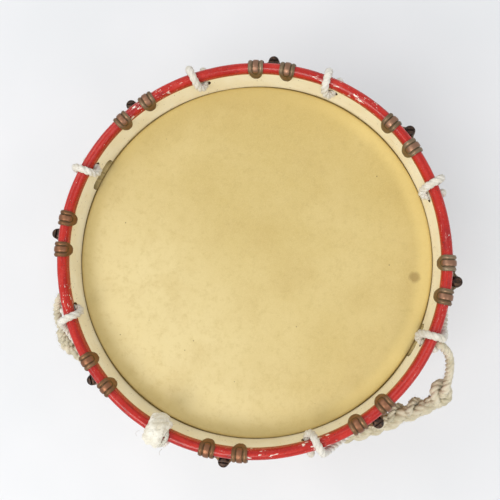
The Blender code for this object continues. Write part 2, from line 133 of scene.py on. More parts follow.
def polar(angle, radius, z=0.0):
    turn = radians(angle)
    return Vector((radius * cos(turn), radius * sin(turn), z))


def outward(spot):
    return Vector((spot.x, spot.y, 0.0)).normalized()


def turned(angle, axis="Z"):
    return Matrix.Rotation(radians(angle), 4, axis)


def stand(angle, radius=0.0, z=0.0):
    """Turn to face out at an angle, then go out and up."""
    return Matrix.Translation(polar(angle, radius, z)) @ turned(angle)


def level(depth, top=True):
    return RIM_HIGH - depth if top else RIM_LOW + depth


def route_points(rows):
    return [polar(angle, radius * MM, level(depth * MM)) for angle, radius, depth in rows]


def even_points(route, spacing):
    """Even points on a Catmull-Rom curve through the route, its long runs cut short first."""
    short = [route[0]]
    for near, far in zip(route, route[1:]):
        parts = max(1, round((far - near).length / (9 * MM)))
        short += [near.lerp(far, k / parts) for k in range(1, parts + 1)]
    ends = [2 * short[0] - short[1]] + short + [2 * short[-1] - short[-2]]
    fine = []
    for i in range(1, len(ends) - 2):
        a, b, c, d = ends[i - 1:i + 3]
        for step in range(12):
            t = step / 12
            fine.append(0.5 * (2 * b + (c - a) * t + (2 * a - 5 * b + 4 * c - d) * t * t
                               + (3 * b - a - 3 * c + d) * t ** 3))
    fine.append(short[-1])
    total = run_length(fine)
    count = max(2, round(total / spacing))
    even, run, goal = [fine[0].copy()], 0.0, total / count
    for near, far in zip(fine, fine[1:]):
        gap = (far - near).length
        while gap and run + gap >= goal - 1e-9 and len(even) < count:
            even.append(near.lerp(far, min(1.0, (goal - run) / gap)))
            goal = total * len(even) / count
        run += gap
    even.append(fine[-1].copy())
    return even


def run_length(points):
    return sum((far - near).length for near, far in zip(points, points[1:]))


def hole_angle(station, top):
    shift = HOLE_SHIFTS[station % STATIONS] if top else -BOTTOM_TURN
    return HOLE_ANGLE + station * STEP + shift


def rise_rows(station, top):
    hole = hole_angle(station, top)
    if not top or station % STATIONS not in SLACK_STATIONS:
        return [(hole + 3.4, ROPE_FACE, ROPE_DROP), (hole + 3.5, ROPE_FACE, 24 * MM)]
    screw = ROD_ANGLE + (station + 1) * STEP
    bow = [(screw - back, radius * MM, depth * MM) for back, radius, depth in SLACK_RUN]
    return bow + [(hole + 4.6, ROPE_FACE + 1.6 * MM, 13.5 * MM)]


def over_rows(station, top):
    hole = hole_angle(station, top)
    rows = [(hole + 3.5 - 0.3 * step, ROUND_CENTRE + LOOP_RADIUS * cos(pi * step / 4),
             ROUND - LOOP_RADIUS * sin(pi * step / 4)) for step in range(5)]
    return rows + [(hole + 1.7, HOOP_INNER - 5.2 * MM, 9.0 * MM),
                   (hole + 0.9, HOOP_INNER - 4.4 * MM, 12.0 * MM)]


def through_rows(station, top):
    hole = hole_angle(station, top)
    return [(hole + 0.25, HOOP_INNER - 1.6 * MM, HOLE_DEPTH), (hole, HOOP_INNER + 3 * MM, HOLE_DEPTH),
            (hole - 0.1, HOOP_OUTER + 2.6 * MM, HOLE_DEPTH + 0.8 * MM),
            (hole - 0.2, ROPE_FACE + 0.3 * MM, HOLE_DEPTH + 5.5 * MM), (hole - 0.3, ROPE_FACE, ROPE_DROP)]


def row_points(rows, top):
    return [polar(angle, radius, level(depth, top)) for angle, radius, depth in rows]


def tension_rope_route():
    route = row_points(through_rows(KNOT_STATION, True), True)
    for step in range(STATIONS):
        for station, top in ((KNOT_STATION - step, False), (KNOT_STATION - step - 1, True)):
            if step < STATIONS - 1 or not top:
                rows = rise_rows(station, top) + over_rows(station, top) + through_rows(station, top)
                route += row_points(rows, top)
    end = hole_angle(KNOT_STATION, True) + 5.2
    radius = ROPE_FACE + 4 * GAP
    return route + row_points([(end, radius, ROPE_DROP), (end, radius, 10 * MM)], True)


# ---------------------------------------------------------------- meshes

def put(name, data):
    """An object linked into the scene."""
    made = bpy.data.objects.new(name, data)
    bpy.context.scene.collection.objects.link(made)
    return made


SAME_PLACE = 1e-7


def clean(mesh, merge=False):
    """The mesh with its faces pointing out and, if asked, its like points merged."""
    bm = bmesh.new()
    bm.from_mesh(mesh)
    if merge:
        bmesh.ops.remove_doubles(bm, verts=bm.verts[:], dist=SAME_PLACE)
    bmesh.ops.recalc_face_normals(bm, faces=bm.faces[:])
    bm.to_mesh(mesh)
    bm.free()
    return mesh


def joined(name, *meshes):
    bm = bmesh.new()
    for mesh in meshes:
        bm.from_mesh(mesh)
    whole = bpy.data.meshes.new(name)
    bm.to_mesh(whole)
    bm.free()
    return whole


def baked(holder):
    """The mesh of an object after its modifiers."""
    graph = bpy.context.evaluated_depsgraph_get()
    return bpy.data.meshes.new_from_object(holder.evaluated_get(graph), depsgraph=graph)


def circle(count, start=0.0):
    """(cosine, sine) of count even angles."""
    return [(cos(start + tau * k / count), sin(start + tau * k / count)) for k in range(count)]


def carried_frames(points):
    """(point, across, third) along a run, carried without twist; across x third is ahead."""
    frames, across = [], None
    for i, point in enumerate(points):
        ahead = (points[min(i + 1, len(points) - 1)] - points[max(i - 1, 0)]).normalized()
        if across is None:
            across = ahead.orthogonal().normalized()
        across = (across - ahead * across.dot(ahead)).normalized()
        frames.append((point, across, ahead.cross(across)))
    return frames


class Build:
    """Vertices, faces and texture places of one piece."""

    def __init__(self):
        self.verts, self.faces, self.places = [], [], []

    def tube(self, rings, places=None, capped=True):
        """Rings of like points joined in a run; places holds the texture's (u, v) at each ring."""
        base, count = len(self.verts), len(rings[0])
        for ring in rings:
            self.verts.extend(ring)
        step = 1 / count if places else 0.0
        places = places or [(0.0, 0.0)] * len(rings)
        for i in range(len(rings) - 1):
            a, b = base + i * count, base + (i + 1) * count
            (u0, v0), (u1, v1) = places[i], places[i + 1]
            for k in range(count):
                j, s, t = (k + 1) % count, k * step, (k + 1) * step
                self.faces.append((a + k, a + j, b + j, b + k))
                self.places.append(((u0 + s, v0), (u0 + t, v0), (u1 + t, v1), (u1 + s, v1)))
        if capped:
            for ring, order in ((0, -1), (len(rings) - 1, 1)):
                start, middle = base + ring * count, len(self.verts)
                self.verts.append(sum(rings[ring], Vector()) / count)
                for k in range(count):
                    pair = (start + k, start + (k + 1) % count)
                    self.faces.append((*pair[::order], middle))
                    self.places.append(((0.0, 0.0),) * 3)

    def rope(self, points, radius, pitch, sides=18, groove=0.3, floor=None, swell=None):
        """Three strands laid together: a tube whose lobes turn once in each pitch."""
        rings, places, run, before = [], [], 0.0, points[0]
        for i, (point, across, third) in enumerate(carried_frames(points)):
            run += (point - before).length
            before = point
            turn = tau * run / pitch
            size = radius * (swell(i / (len(points) - 1)) if swell else 1.0)
            rings.append([])
            for k, (x, y) in enumerate(circle(sides, turn)):
                lobe = (k * 3 / sides + 0.5) % 1.0 - 0.5
                rise = 1.0 - groove * (1.0 - max(0.0, cos(pi * lobe)) ** 0.8)
                spot = point + size * rise * (x * across + y * third)
                if floor is not None:
                    spot.z = max(spot.z, floor)
                rings[-1].append(spot)
            places.append((turn / tau, run * 100))
        self.tube(rings, places)

    def fibres(self, spots, count, length, seed):
        """Short bent hairs that stand off a surface given as (point, normal) pairs."""
        dice = random.Random(seed)
        for _ in range(count):
            point, normal = spots[dice.randrange(len(spots))]
            stray = Vector([dice.uniform(-1, 1) for _ in range(3)])
            lean = (normal + 0.9 * stray).normalized()
            bend = (lean.cross(Vector([dice.uniform(-1, 1) for _ in range(3)]))).normalized()
            size = length * dice.uniform(0.4, 1.3)
            path = [point - 0.3 * MM * normal]
            path += [point + size * (t * lean + 0.45 * t * t * bend) for t in (1 / 3, 2 / 3, 1.0)]
            rings = []
            for k, (spot, across, third) in enumerate(carried_frames(path)):
                fine = FIBRE_RADIUS * (1.0 - 0.25 * k)
                rings.append([spot + fine * (x * across + y * third) for x, y in circle(3)])
            self.tube(rings, places=[(0.0, 0.0)] * 4)

    def mesh(self, name):
        mesh = bpy.data.meshes.new(name)
        mesh.from_pydata([tuple(v) for v in self.verts], [], self.faces)
        layer = mesh.uv_layers.new(name="lay")
        flat = [c for face in self.places for corner in face for c in corner]
        layer.data.foreach_set("uv", flat)
        return mesh


def surface_spots(points, radius):
    """(point, normal) pairs on a round tube, for its fibres."""
    spots = []
    for point, across, third in carried_frames(points):
        for x, y in circle(12):
            out = x * across + y * third
            spots.append((point + radius * out, out))
    return spots


def add_piece(name, mesh, material, nodes=(), body="root", smooth=35.0):
    """Put a mesh in the scene on its body; smooth is the sharpest angle shaded smooth."""
    clean(mesh)
    mesh.shade_smooth()
    if smooth:
        mesh.set_sharp_from_angle(angle=radians(smooth))
    if not any(mesh.materials):
        mesh.materials.clear()
        mesh.materials.append(material)
    piece = put(name, mesh)
    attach(piece, body)
    if nodes:
        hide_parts(*nodes)
    return piece


def add_rope(name, build, cotton, nodes):
    return add_piece(name, build.mesh(name), cotton, nodes, smooth=None)


def turned_mesh(name, profile, segments, wobble=None, closed=True):
    """Turn (radius, z) points about Z. The two ends of an open profile are capped."""
    build = Build()
    rings = [[Vector((radius * x, radius * y, z)) for x, y in circle(segments)] for radius, z in profile]
    if wobble:
        rings = [[spot + wobble(spot) for spot in ring] for ring in rings]
    if closed:
        rings.append(rings[0])
    build.tube(rings, capped=not closed)
    mesh = bpy.data.meshes.new(name)
    mesh.from_pydata([tuple(v) for v in build.verts], [], build.faces)
    return clean(mesh, merge=True)


def cut_mesh(mesh, cutters):
    """The mesh less the cutter meshes, whose materials go to the faces they cut."""
    target, helpers = put("target", mesh), []
    for cutter in cutters:
        helpers.append(put("cutter", cutter))
        step = target.modifiers.new("cut", "BOOLEAN")
        step.object, step.solver, step.material_mode = helpers[-1], "EXACT", "TRANSFER"
    result = baked(target)
    for helper in helpers + [target]:
        bpy.data.objects.remove(helper)
    return result


def radial_cutter(name, angle, z, sections, material):
    """A lofted cutter along the radius: sections are (radius, outline of (sideways, up))."""
    turn = stand(angle, z=z)
    build = Build()
    build.tube([[turn @ Vector((x, y, up)) for y, up in outline] for x, outline in sections])
    mesh = build.mesh(name)
    mesh.materials.append(material)
    return clean(mesh)


def prism(outline, low, high):
    build = Build()
    build.tube([[Vector((x, y, z)) for x, y in outline] for z in (low, high)])
    return clean(build.mesh("prism"))


def circle_outline(radius, count):
    return [(radius * x, radius * y) for x, y in circle(count)]


def ripple(spot, scale, size, seed=0.0):
    """A smooth wandering offset, the same on every run."""
    return size * noise.noise(Vector(spot) * scale + Vector((seed, 2 * seed, -seed)))


# ---------------------------------------------------------------- materials

class Surface:
    """A Principled material and short calls that wire its nodes. Places are in metres."""

    def __init__(self, name):
        self.material = bpy.data.materials.new(name)
        self.material.use_nodes = True
        self.tree = self.material.node_tree
        self.shader = self.tree.nodes["Principled BSDF"]
        self.where = self.tree.nodes.new("ShaderNodeTexCoord").outputs["Object"]

    def feed(self, socket, value):
        if isinstance(value, bpy.types.NodeSocket):
            self.tree.links.new(value, socket)
        elif value is not None:
            socket.default_value = value

    def node(self, kind, inputs=(), **settings):
        made = self.tree.nodes.new("ShaderNode" + kind)
        for key, value in settings.items():
            setattr(made, key, value)
        for key, value in dict(inputs).items():
            self.feed(made.inputs[key], value)
        return made

    def math(self, operation, a, b=None, clamp=False):
        return self.node("Math", {0: a, 1: b}, operation=operation, use_clamp=clamp).outputs[0]

    def plus(self, a, b, clamp=False):
        return self.math("ADD", a, b, clamp)

    def minus(self, a, b):
        return self.math("SUBTRACT", a, b)

    def times(self, a, b):
        return self.math("MULTIPLY", a, b)

    def vector(self, operation, a, b=None):
        """A vector, or the number that a length or a distance gives."""
        made = self.node("VectorMath", {0: a, 1: b}, operation=operation)
        return made.outputs["Value" if operation in ("LENGTH", "DISTANCE") else "Vector"]

    def pattern(self, kind, scale, stretch, seed, **inputs):
        """A texture read where the surface is, stretched and then moved by its seed."""
        place = self.vector("MULTIPLY", self.where, stretch) if stretch else self.where
        if seed:
            place = self.vector("ADD", place, (seed, seed * 0.7, -seed))
        return self.node(kind, {"Vector": place, "Scale": scale, **inputs})

    def noise(self, scale, detail=4.0, rough=0.55, stretch=None, seed=0.0, warp=0.0):
        return self.pattern("TexNoise", scale, stretch, seed, Detail=detail, Roughness=rough,
                            Distortion=warp).outputs[0]

    def cells(self, scale, stretch=None, seed=0.0):
        return self.pattern("TexVoronoi", scale, stretch, seed).outputs["Distance"]

    def band(self, value, low, high, a=0.0, b=1.0):
        """a below low and b above high, smooth between."""
        made = self.node("MapRange", {"Value": value, "From Min": low, "From Max": high,
                                      "To Min": a, "To Max": b}, interpolation_type="SMOOTHSTEP")
        return made.outputs["Result"]

    def mix(self, part, a, b):
        """a or b or between; a colour is a socket or (red, green, blue) from 0 to 255."""
        a, b = (rgb(*colour) if isinstance(colour, tuple) else colour for colour in (a, b))
        return self.node("Mix", {0: part, 6: a, 7: b}, data_type="RGBA").outputs[2]

    def layers(self, base, *rows):
        """base, turned towards each row's colour by up to most as value goes from low to high."""
        for value, low, high, most, colour in rows:
            base = self.mix(self.band(value, low, high, 0.0, most), base, colour)
        return base

    def chosen(self, scale, least, seed):
        """1 in the patches where some of the spots are let through, else 0."""
        return self.math("GREATER_THAN", self.noise(scale, 2, seed=seed), least)

    def split(self, vector=None):
        return self.node("SeparateXYZ", {0: vector or self.where}).outputs[:3]

    def away(self, x, y, centre=(0.0, 0.0, 0.0)):
        """How far (x, y) is from a place, level with the floor."""
        return self.vector("DISTANCE", self.node("CombineXYZ", {0: x, 1: y}).outputs[0], centre)

    def roll_out(self):
        """Read textures along the hoop, by radius and z, with a seam under a claw; (radius, z)."""
        spun = self.node("VectorRotate", {"Vector": self.where, "Angle": radians(2.4)},
                         rotation_type="Z_AXIS")
        x, y, z = self.split(spun.outputs[0])
        along, radius = self.times(self.math("ARCTAN2", y, x), ROUND_CENTRE), self.away(x, y)
        self.where = self.node("CombineXYZ", {0: along, 1: radius, 2: z}).outputs[0]
        return radius, z

    def bump(self, height, distance, strength=1.0, normal=None):
        return self.node("Bump", {"Height": height, "Distance": distance, "Strength": strength,
                                  "Normal": normal}).outputs[0]

    def finish(self, **sockets):
        names = {"colour": "Base Color", "rough": "Roughness", "metal": "Metallic", "normal": "Normal",
                 "sheen": "Sheen Weight", "sheen_rough": "Sheen Roughness", "coat": "Coat Weight",
                 "coat_rough": "Coat Roughness", "specular": "Specular IOR Level"}
        for key, value in sockets.items():
            self.feed(self.shader.inputs[names[key]], value)
        return self.material


def rgb(red, green, blue):
    """A colour given as it shows on screen, 0 to 255, made linear."""
    return tuple(((c / 255 + 0.055) / 1.055) ** 2.4 if c > 10 else c / 255 / 12.92
                 for c in (red, green, blue)) + (1.0,)


# Places on the rims that took most knocks.
KNOCKED_ANGLES = (66.0, 60.0, 54.0, 118.0, 130.0, -70.0, -87.0, -168.0)


def paint_material(name, top):
    """Red over the rim and outside, matte cream on the inner wall, scuffed and chipped."""
    s = Surface(name)
    x, y, _ = s.split()
    radius, z = s.roll_out()
    depth = s.minus(RIM_HIGH, z) if top else s.minus(z, RIM_LOW)
    brush = s.noise(90, 3, stretch=(0.35, 1.0, 1.0))
    wavy = s.plus(depth, s.times(s.minus(brush, 0.5), 1.2 * MM))
    # The red comes down further on one side of the wall than on the other.
    tilt = s.plus(s.times(x, -0.0083), s.times(y, -0.0058))
    wavy = s.minus(wavy, s.plus(tilt, 2.4 * MM))
    inside = s.math("LESS_THAN", radius, ROUND_CENTRE)
    # Red with lighter and darker brush strokes; browner on the inner rounding as painted shade.
    strokes = s.noise(420, 4, stretch=(0.08, 1.0, 1.0), seed=3.1)
    red = s.layers(
        (166, 22, 13), (strokes, 0.35, 0.65, 1.0, (190, 38, 24)),
        (s.noise(60, 3, seed=7.7), 0.52, 0.72, 0.5, (196, 60, 50)),
        (s.noise(160, 5, stretch=(0.3, 1.0, 1.0), seed=11.0), 0.56, 0.68, 0.6, (137, 24, 28)))
    # Painted shade: the inner rounding turns browner.
    red = s.mix(s.times(inside, s.band(wavy, 2.2 * MM, 5.6 * MM, 0.0, 0.7)), red, (132, 52, 24))
    # Cream wall with grime, painted shade low down where it meets the head, and orange where the red ends.
    join = s.math("ABSOLUTE", s.minus(wavy, 6.3 * MM))
    cream = s.layers(
        (252, 246, 222), (s.noise(26, 5, seed=5.0), 0.35, 0.7, 1.0, (246, 236, 204)),
        (s.noise(320, 5, stretch=(0.4, 1.0, 1.0), seed=1.7), 0.6, 0.78, 0.4, (206, 186, 138)),
        # Painted shade: darker at the foot of the wall, by the head.
        (depth, 34 * MM, 39.5 * MM, 0.3, (206, 184, 128)),
        (join, 0.9 * MM, 0.2 * MM, 1.0, (236, 190, 140)))
    painted = s.times(inside, s.band(wavy, 5.8 * MM, 6.2 * MM))
    colour = s.mix(painted, red, cream)
    # Scuffs run along the hoop; chips show the pale priming, most of them where it was knocked.
    busy, knocked = s.band(s.noise(9, 2, seed=21.0), 0.42, 0.68), 0.0
    for angle in KNOCKED_ANGLES:
        gone = s.away(x, y, polar(angle, ROUND_CENTRE))
        knocked = s.math("MAXIMUM", knocked, s.band(gone, 26 * MM, 12 * MM))
    knocked = s.times(knocked, s.band(depth, 14 * MM, 5 * MM, 0.15, 1.0))
    busy = s.math("MAXIMUM", busy, knocked)
    scuff = s.noise(700, 6, 0.7, stretch=(0.22, 1.0, 1.0), seed=2.0)
    scuffed = s.times(s.band(scuff, 0.60, 0.68), s.band(busy, 0.0, 1.0, 0.25, 1.0))
    on_red = s.minus(1.0, painted)
    colour = s.mix(s.times(s.times(scuffed, on_red), 0.6), colour, (232, 164, 150))
    chip = s.noise(430, 5, 0.6, stretch=(0.34, 1.0, 1.0), seed=31.0)
    least = s.plus(s.times(knocked, -0.092), s.plus(s.times(busy, -0.035), 0.735))
    chipped = s.times(s.math("GREATER_THAN", chip, least), on_red)
    colour = s.mix(chipped, colour, (236, 224, 208))
    nick = s.cells(330, stretch=(0.6, 1.0, 1.0), seed=17.0)
    nicked = s.times(s.math("LESS_THAN", nick, 0.13), s.chosen(120, 0.55, 41.0))
    colour = s.mix(s.times(nicked, 0.8), colour, (70, 42, 30))
    rough = s.band(s.noise(260, 5, seed=13.0), 0.3, 0.75, 0.16, 0.36)
    rough = s.plus(rough, s.times(painted, 0.3), clamp=True)
    rough = s.plus(rough, s.times(scuffed, 0.22), clamp=True)
    height = s.plus(s.times(strokes, 0.5), s.times(chipped, -0.5))
    height = s.plus(height, s.times(s.noise(150, 3, seed=9.0), 1.5))
    return s.finish(colour=colour, rough=rough, normal=s.bump(height, 0.12 * MM, 0.8), specular=0.35,
                    coat=0.12, coat_rough=0.12)


def plain_finish(s, grain, tones, rough, depth, band=(0.3, 0.7), metal=0.0):
    """Two tones and two roughnesses that follow one texture."""
    colour = s.mix(s.band(grain, *band), *tones)
    return s.finish(colour=colour, rough=s.band(grain, 0.3, 0.7, *rough), metal=metal,
                    normal=s.bump(grain, depth * MM))


def cut_wood_material():
    """Bare ash where the holes and gates were cut, dark with handling."""
    s = Surface("cut_wood")
    grain = s.noise(900, 5, stretch=(1.0, 1.0, 0.15))
    return plain_finish(s, grain, ((66, 44, 26), (116, 84, 52)), (0.6, 0.85), 0.15)


def skin_material(top):
    """Old calfskin: golden and mottled, with specks, and one brown stain on the top head."""
    s = Surface("calfskin_" + ("top" if top else "bottom"))
    x, y, _ = s.split()
    radius = s.away(x, y)
    # Painted light: paler to the lower left and darker, yellower to the upper right. A band round the edge
    # turns golden on the right as a painted glow of light through the skin.
    # Painted light: how far a place lies towards the upper right.
    lean = s.plus(s.times(x, 0.75), s.times(y, 0.6))
    cloud, fine = s.noise(22, 6, 0.65, seed=4.0), s.noise(160, 6, 0.7, seed=6.0)
    grain = s.noise(1300, 4, 0.6, seed=8.0)
    ragged = s.plus(radius, s.times(s.minus(cloud, 0.5), 9 * MM))
    # Painted glow of light through the skin: the edge band is golden on the right side.
    golden = s.layers((208, 186, 122), (x, 0.02, 0.14, 1.0, (238, 214, 142)))
    colour = s.layers(
        (196, 172, 105), (s.noise(7, 5, 0.6, warp=0.4), 0.32, 0.7, 1.0, (208, 186, 124)),
        # Painted light: paler to the lower left, darker and yellower to the upper right.
        (lean, 0.02, -0.14, 0.75, (226, 209, 156)), (lean, 0.02, 0.18, 0.3, (202, 176, 104)),
        (cloud, 0.45, 0.75, 0.35, (184, 156, 90)), (fine, 0.45, 0.75, 0.34, (176, 150, 86)),
        (grain, 0.35, 0.7, 0.26, (226, 208, 152)), (ragged, 160 * MM, 172 * MM, 0.45, golden),
        # Painted shade: darker at the edge under the hoop wall, darkest in the gap line against it.
        (radius, 175 * MM, 178.6 * MM, 0.2, (212, 184, 116)),
        (radius, 178.7 * MM, 179.6 * MM, 0.5, (182, 152, 94)))
    if top:
        wander = s.times(s.minus(s.noise(220, 4, seed=5.5), 0.5), 5 * MM)
        far = s.plus(s.away(x, y, polar(-6.9, 163 * MM)), wander)
        colour = s.layers(colour, (far, 7.2 * MM, 3.4 * MM, 0.5, (128, 98, 48)))
    dots = s.times(s.band(s.cells(75, seed=12.0), 0.075, 0.03), s.chosen(38, 0.57, 15.0))
    colour = s.mix(s.times(dots, 0.6), colour, (92, 68, 34))
    height = s.plus(s.times(grain, 0.3), s.times(fine, 0.9))
    rough = s.band(s.noise(48, 5, seed=19.0), 0.3, 0.7, 0.42, 0.62)
    return s.finish(colour=colour, rough=rough, normal=s.bump(height, 0.06 * MM, 0.7), specular=0.35)


def lapped_material():
    """Flesh hoop wrapped in the skin's edge, olive with age."""
    s = Surface("lapped_skin")
    s.roll_out()
    cloud = s.noise(60, 5)
    folds = s.noise(420, 4, stretch=(1.0, 0.25, 0.25), seed=2.0)
    colour = s.layers((172, 150, 92), (cloud, 0.35, 0.7, 1.0, (210, 186, 124)),
                      (folds, 0.5, 0.7, 0.45, (122, 102, 58)))
    return s.finish(colour=colour, rough=s.band(cloud, 0.3, 0.7, 0.5, 0.75),
                    normal=s.bump(folds, 0.25 * MM))


def bronze_material():
    """Aged bronze: olive brown plate, rubbed coppery where it stands proud, with painted light from brown at
    the lower left to grey at the upper right.
    """
    s = Surface("claw_bronze")
    proud = s.node("Attribute", attribute_name="proud").outputs["Fac"]
    x, y, _ = s.split()
    age = s.noise(45, 4, seed=1.0)
    # Painted light and reflection: plate and rubbed copper turn browner towards the lower left and greyer
    # towards the upper right.
    lean = s.plus(s.times(x, 0.6), s.times(y, 0.8))
    grey = s.band(s.plus(lean, s.times(age, 0.06)), -0.05, 0.17)
    old = s.band(age, 0.35, 0.65)
    plate = s.mix(grey, s.mix(old, (116, 84, 56), (138, 106, 76)),
                  s.mix(old, (118, 100, 76), (142, 126, 102)))
    copper = s.mix(grey, (142, 98, 72), (148, 112, 90))
    worn = s.plus(proud, s.times(s.minus(s.noise(420, 5), 0.5), 0.7))
    # Grime and painted shade: darkest in the groove and other low parts.
    dirt_and_shade = s.minus(s.times(s.noise(600, 5, seed=3.0), 0.35), proud)
    colour = s.layers(plate, (worn, 0.35, 0.75, 1.0, copper), (dirt_and_shade, -0.12, 0.22, 0.8, (84, 70, 48)),
                      (s.noise(380, 5, seed=9.0), 0.62, 0.74, 0.35, (104, 104, 74)))
    rough = s.plus(s.band(s.noise(300, 5, seed=7.0), 0.3, 0.7, 0.4, 0.56),
                   s.times(s.band(worn, 0.2, 0.7), -0.08))
    scratch = s.noise(1500, 3, stretch=(1.0, 1.0, 0.2), seed=5.0)
    return s.finish(colour=colour, rough=rough, metal=0.9, normal=s.bump(scratch, 0.03 * MM, 0.6))


def steel_material():
    """Browned steel, nearly black, with rust bloom and worn edges."""
    s = Surface("screw_steel")
    bloom, pits = s.noise(420, 5), s.noise(1500, 4, seed=3.0)
    colour = s.layers((58, 48, 44), (bloom, 0.4, 0.7, 1.0, (104, 78, 60)),
                      (pits, 0.55, 0.7, 0.6, (34, 26, 24)))
    return s.finish(colour=colour, rough=s.band(bloom, 0.3, 0.7, 0.3, 0.55), metal=0.85,
                    normal=s.bump(pits, 0.06 * MM))


def brass_material():
    """Sheet brass with a brown tarnish, rubbed round the drum and cleaner in the middle."""
    s = Surface("shell_brass")
    _, z = s.roll_out()
    cloud = s.noise(14, 6, 0.6)
    drip = s.noise(60, 5, 0.6, stretch=(1.0, 1.0, 0.12), seed=4.0)
    colour = s.layers((216, 174, 100), (cloud, 0.35, 0.68, 1.0, (186, 140, 76)),
                      (drip, 0.52, 0.72, 0.35, (128, 90, 50)))
    spots = s.times(s.band(s.cells(110, seed=9.0), 0.16, 0.06, 0.0, 0.5), s.chosen(30, 0.56, 6.0))
    off = s.math("ABSOLUTE", s.minus(z, MIDDLE))
    colour = s.layers(s.mix(spots, colour, (84, 62, 40)), (off, 100 * MM, 150 * MM, 0.5, (104, 76, 44)))
    lines = s.noise(2200, 3, stretch=(0.01, 1.0, 1.0), seed=2.0)
    rough = s.plus(s.band(cloud, 0.3, 0.7, 0.2, 0.36), s.times(lines, 0.12))
    dents = s.noise(16, 3, seed=12.0)
    normal = s.bump(dents, 1.2 * MM, 0.5, s.bump(lines, 0.02 * MM, 0.6))
    return s.finish(colour=colour, rough=rough, metal=1.0, normal=normal)


def eyelet_material():
    s = Surface("eyelet_brass")
    tones = ((222, 180, 104), (150, 108, 56))
    return plain_finish(s, s.noise(500, 5), tones, (0.22, 0.4), 0.03, (0.35, 0.7), 1.0)


def wood_material():
    s = Surface("ring_wood")
    s.roll_out()
    grain = s.noise(300, 5, stretch=(0.06, 1.0, 1.0), warp=0.6)
    return plain_finish(s, grain, ((150, 108, 66), (196, 156, 106)), (0.5, 0.7), 0.1)


def cotton_material(name, light, dark, dirt_and_shade, dirt_and_shade_amount):
    """Laid cotton rope: yarns along each strand, grey in its grooves, with patches of grime and painted
    shade.
    """
    s = Surface(name)
    u, v, _ = s.split(s.node("UVMap", uv_map="lay").outputs[0])
    place = s.node("CombineXYZ", {0: u, 1: s.times(v, 0.02)}).outputs[0]
    yarn = s.node("TexWave", {"Vector": place, "Scale": 9.0, "Distortion": 2.5, "Detail": 2.0,
                              "Detail Scale": 1.5})
    fluff = s.noise(1100, 5, 0.7, seed=8.0)
    colour = s.layers(light, (s.noise(70, 5, seed=2.0), 0.35, 0.68, 1.0, dark),
                      # Patches of grime and painted shade.
                      (s.noise(24, 5, 0.6, seed=5.0), 0.5, 0.74, dirt_and_shade_amount, dirt_and_shade),
                      (fluff, 0.5, 0.72, 0.3, dirt_and_shade))
    height = s.plus(s.times(yarn.outputs["Fac"], 0.6), fluff)
    return s.finish(colour=colour, rough=s.band(fluff, 0.2, 0.8, 0.8, 0.98),
                    normal=s.bump(height, 0.35 * MM, 0.9), sheen=0.25, sheen_rough=0.5,
                    specular=0.15)


# ---------------------------------------------------------------- camera

SENSOR = 36.0
FOCAL_LENGTH = 1.06 * SENSOR
CAMERA_PLACE = (50.3 * MM, -32.9 * MM, RIM_HIGH + 498 * MM)


def place_camera():
    """The photo's view: above the drum's middle, a little to its right, leaning back to it."""
    data = bpy.data.cameras.new("camera")
    data.lens, data.sensor_width, data.clip_start = FOCAL_LENGTH, SENSOR, 0.01
    camera = put("camera", data)
    camera.matrix_world = Matrix.Translation(CAMERA_PLACE) @ turned(5.5, "Y") @ turned(4.38, "X")
    bpy.context.scene.camera = camera


# ---------------------------------------------------------------- drag rope

LEAD_STEP = 1.2 * MM
ROPE_STEP = 1.6 * MM
LEAD_RADIUS = 4.1 * MM
LEAD_PITCH = 17 * MM
CORE_RADIUS = 6.2 * MM
WINDER_RADIUS = 4.1 * MM
WINDER_PITCH = 20 * MM
# Through the knot: (right, up, towards the camera) in mm from its centre.
KNOT_RUN = [(4.2, 10.2, 9.5), (3.2, 4.6, 9.8), (1.4, 0.4, 8.0), (1.0, -2.2, 3.2), (3.4, -1.6, -1.6),
            (6.6, 1.4, -2.8), (5.2, 6.4, -2.2), (1.0, 7.4, -0.6), (-3.4, 6.0, 1.6), (-6.2, 1.8, 3.0),
            (-6.4, -3.4, 3.4), (-5.2, -8.0, 1.4), (-5.8, -12.8, -3.0)]
KNOT_BACK = [(-2.6, 2.4, -3.4), (3.4, 4.6, -6.0), (7.2, 1.8, -5.4), (8.0, -3.0, -4.4), (6.6, -8.0, -4.2),
             (1.6, -11.4, -4.4), (-4.6, -14.0, -5.0), (-10.0, -16.6, -6.4)]


def plait_strands(points):
    """Centre lines of the plait: a core of two cords, and a winder looped along its inner side."""
    length = run_length(points)
    core, second, winder = [], [], []
    run, before = 0.0, points[0]
    for i, point in enumerate(points):
        run += (point - before).length
        before = point
        ahead = (points[min(i + 1, len(points) - 1)] - points[max(i - 1, 0)]).normalized()
        out = outward(point)
        out = (out - ahead * out.dot(ahead)).normalized()
        side = ahead.cross(out)
        side = side if side.z > 0 else -side
        grow = 0.35 + 0.65 * smooth(min(run, length - run) / (22 * MM))
        loose = 1.0 + 0.16 * noise.noise(Vector((run * 38, 2.3, 0.7)))
        turn = tau * run / WINDER_PITCH
        lay = tau * run / (2.1 * WINDER_PITCH)
        middle = point + grow * 2.8 * MM * out
        away = grow * MM * (cos(lay) * side + sin(lay) * out)
        core.append(middle + 2.3 * away)
        second.append(middle - 3.1 * away)
        winder.append(point + grow * loose * MM * ((-2.7 - 4.9 * cos(turn)) * out
                                                   + 6.6 * sin(turn) * side))
    return core, second, winder


def smooth(t):
    t = min(1.0, max(0.0, t))
    return t * t * (3 - 2 * t)


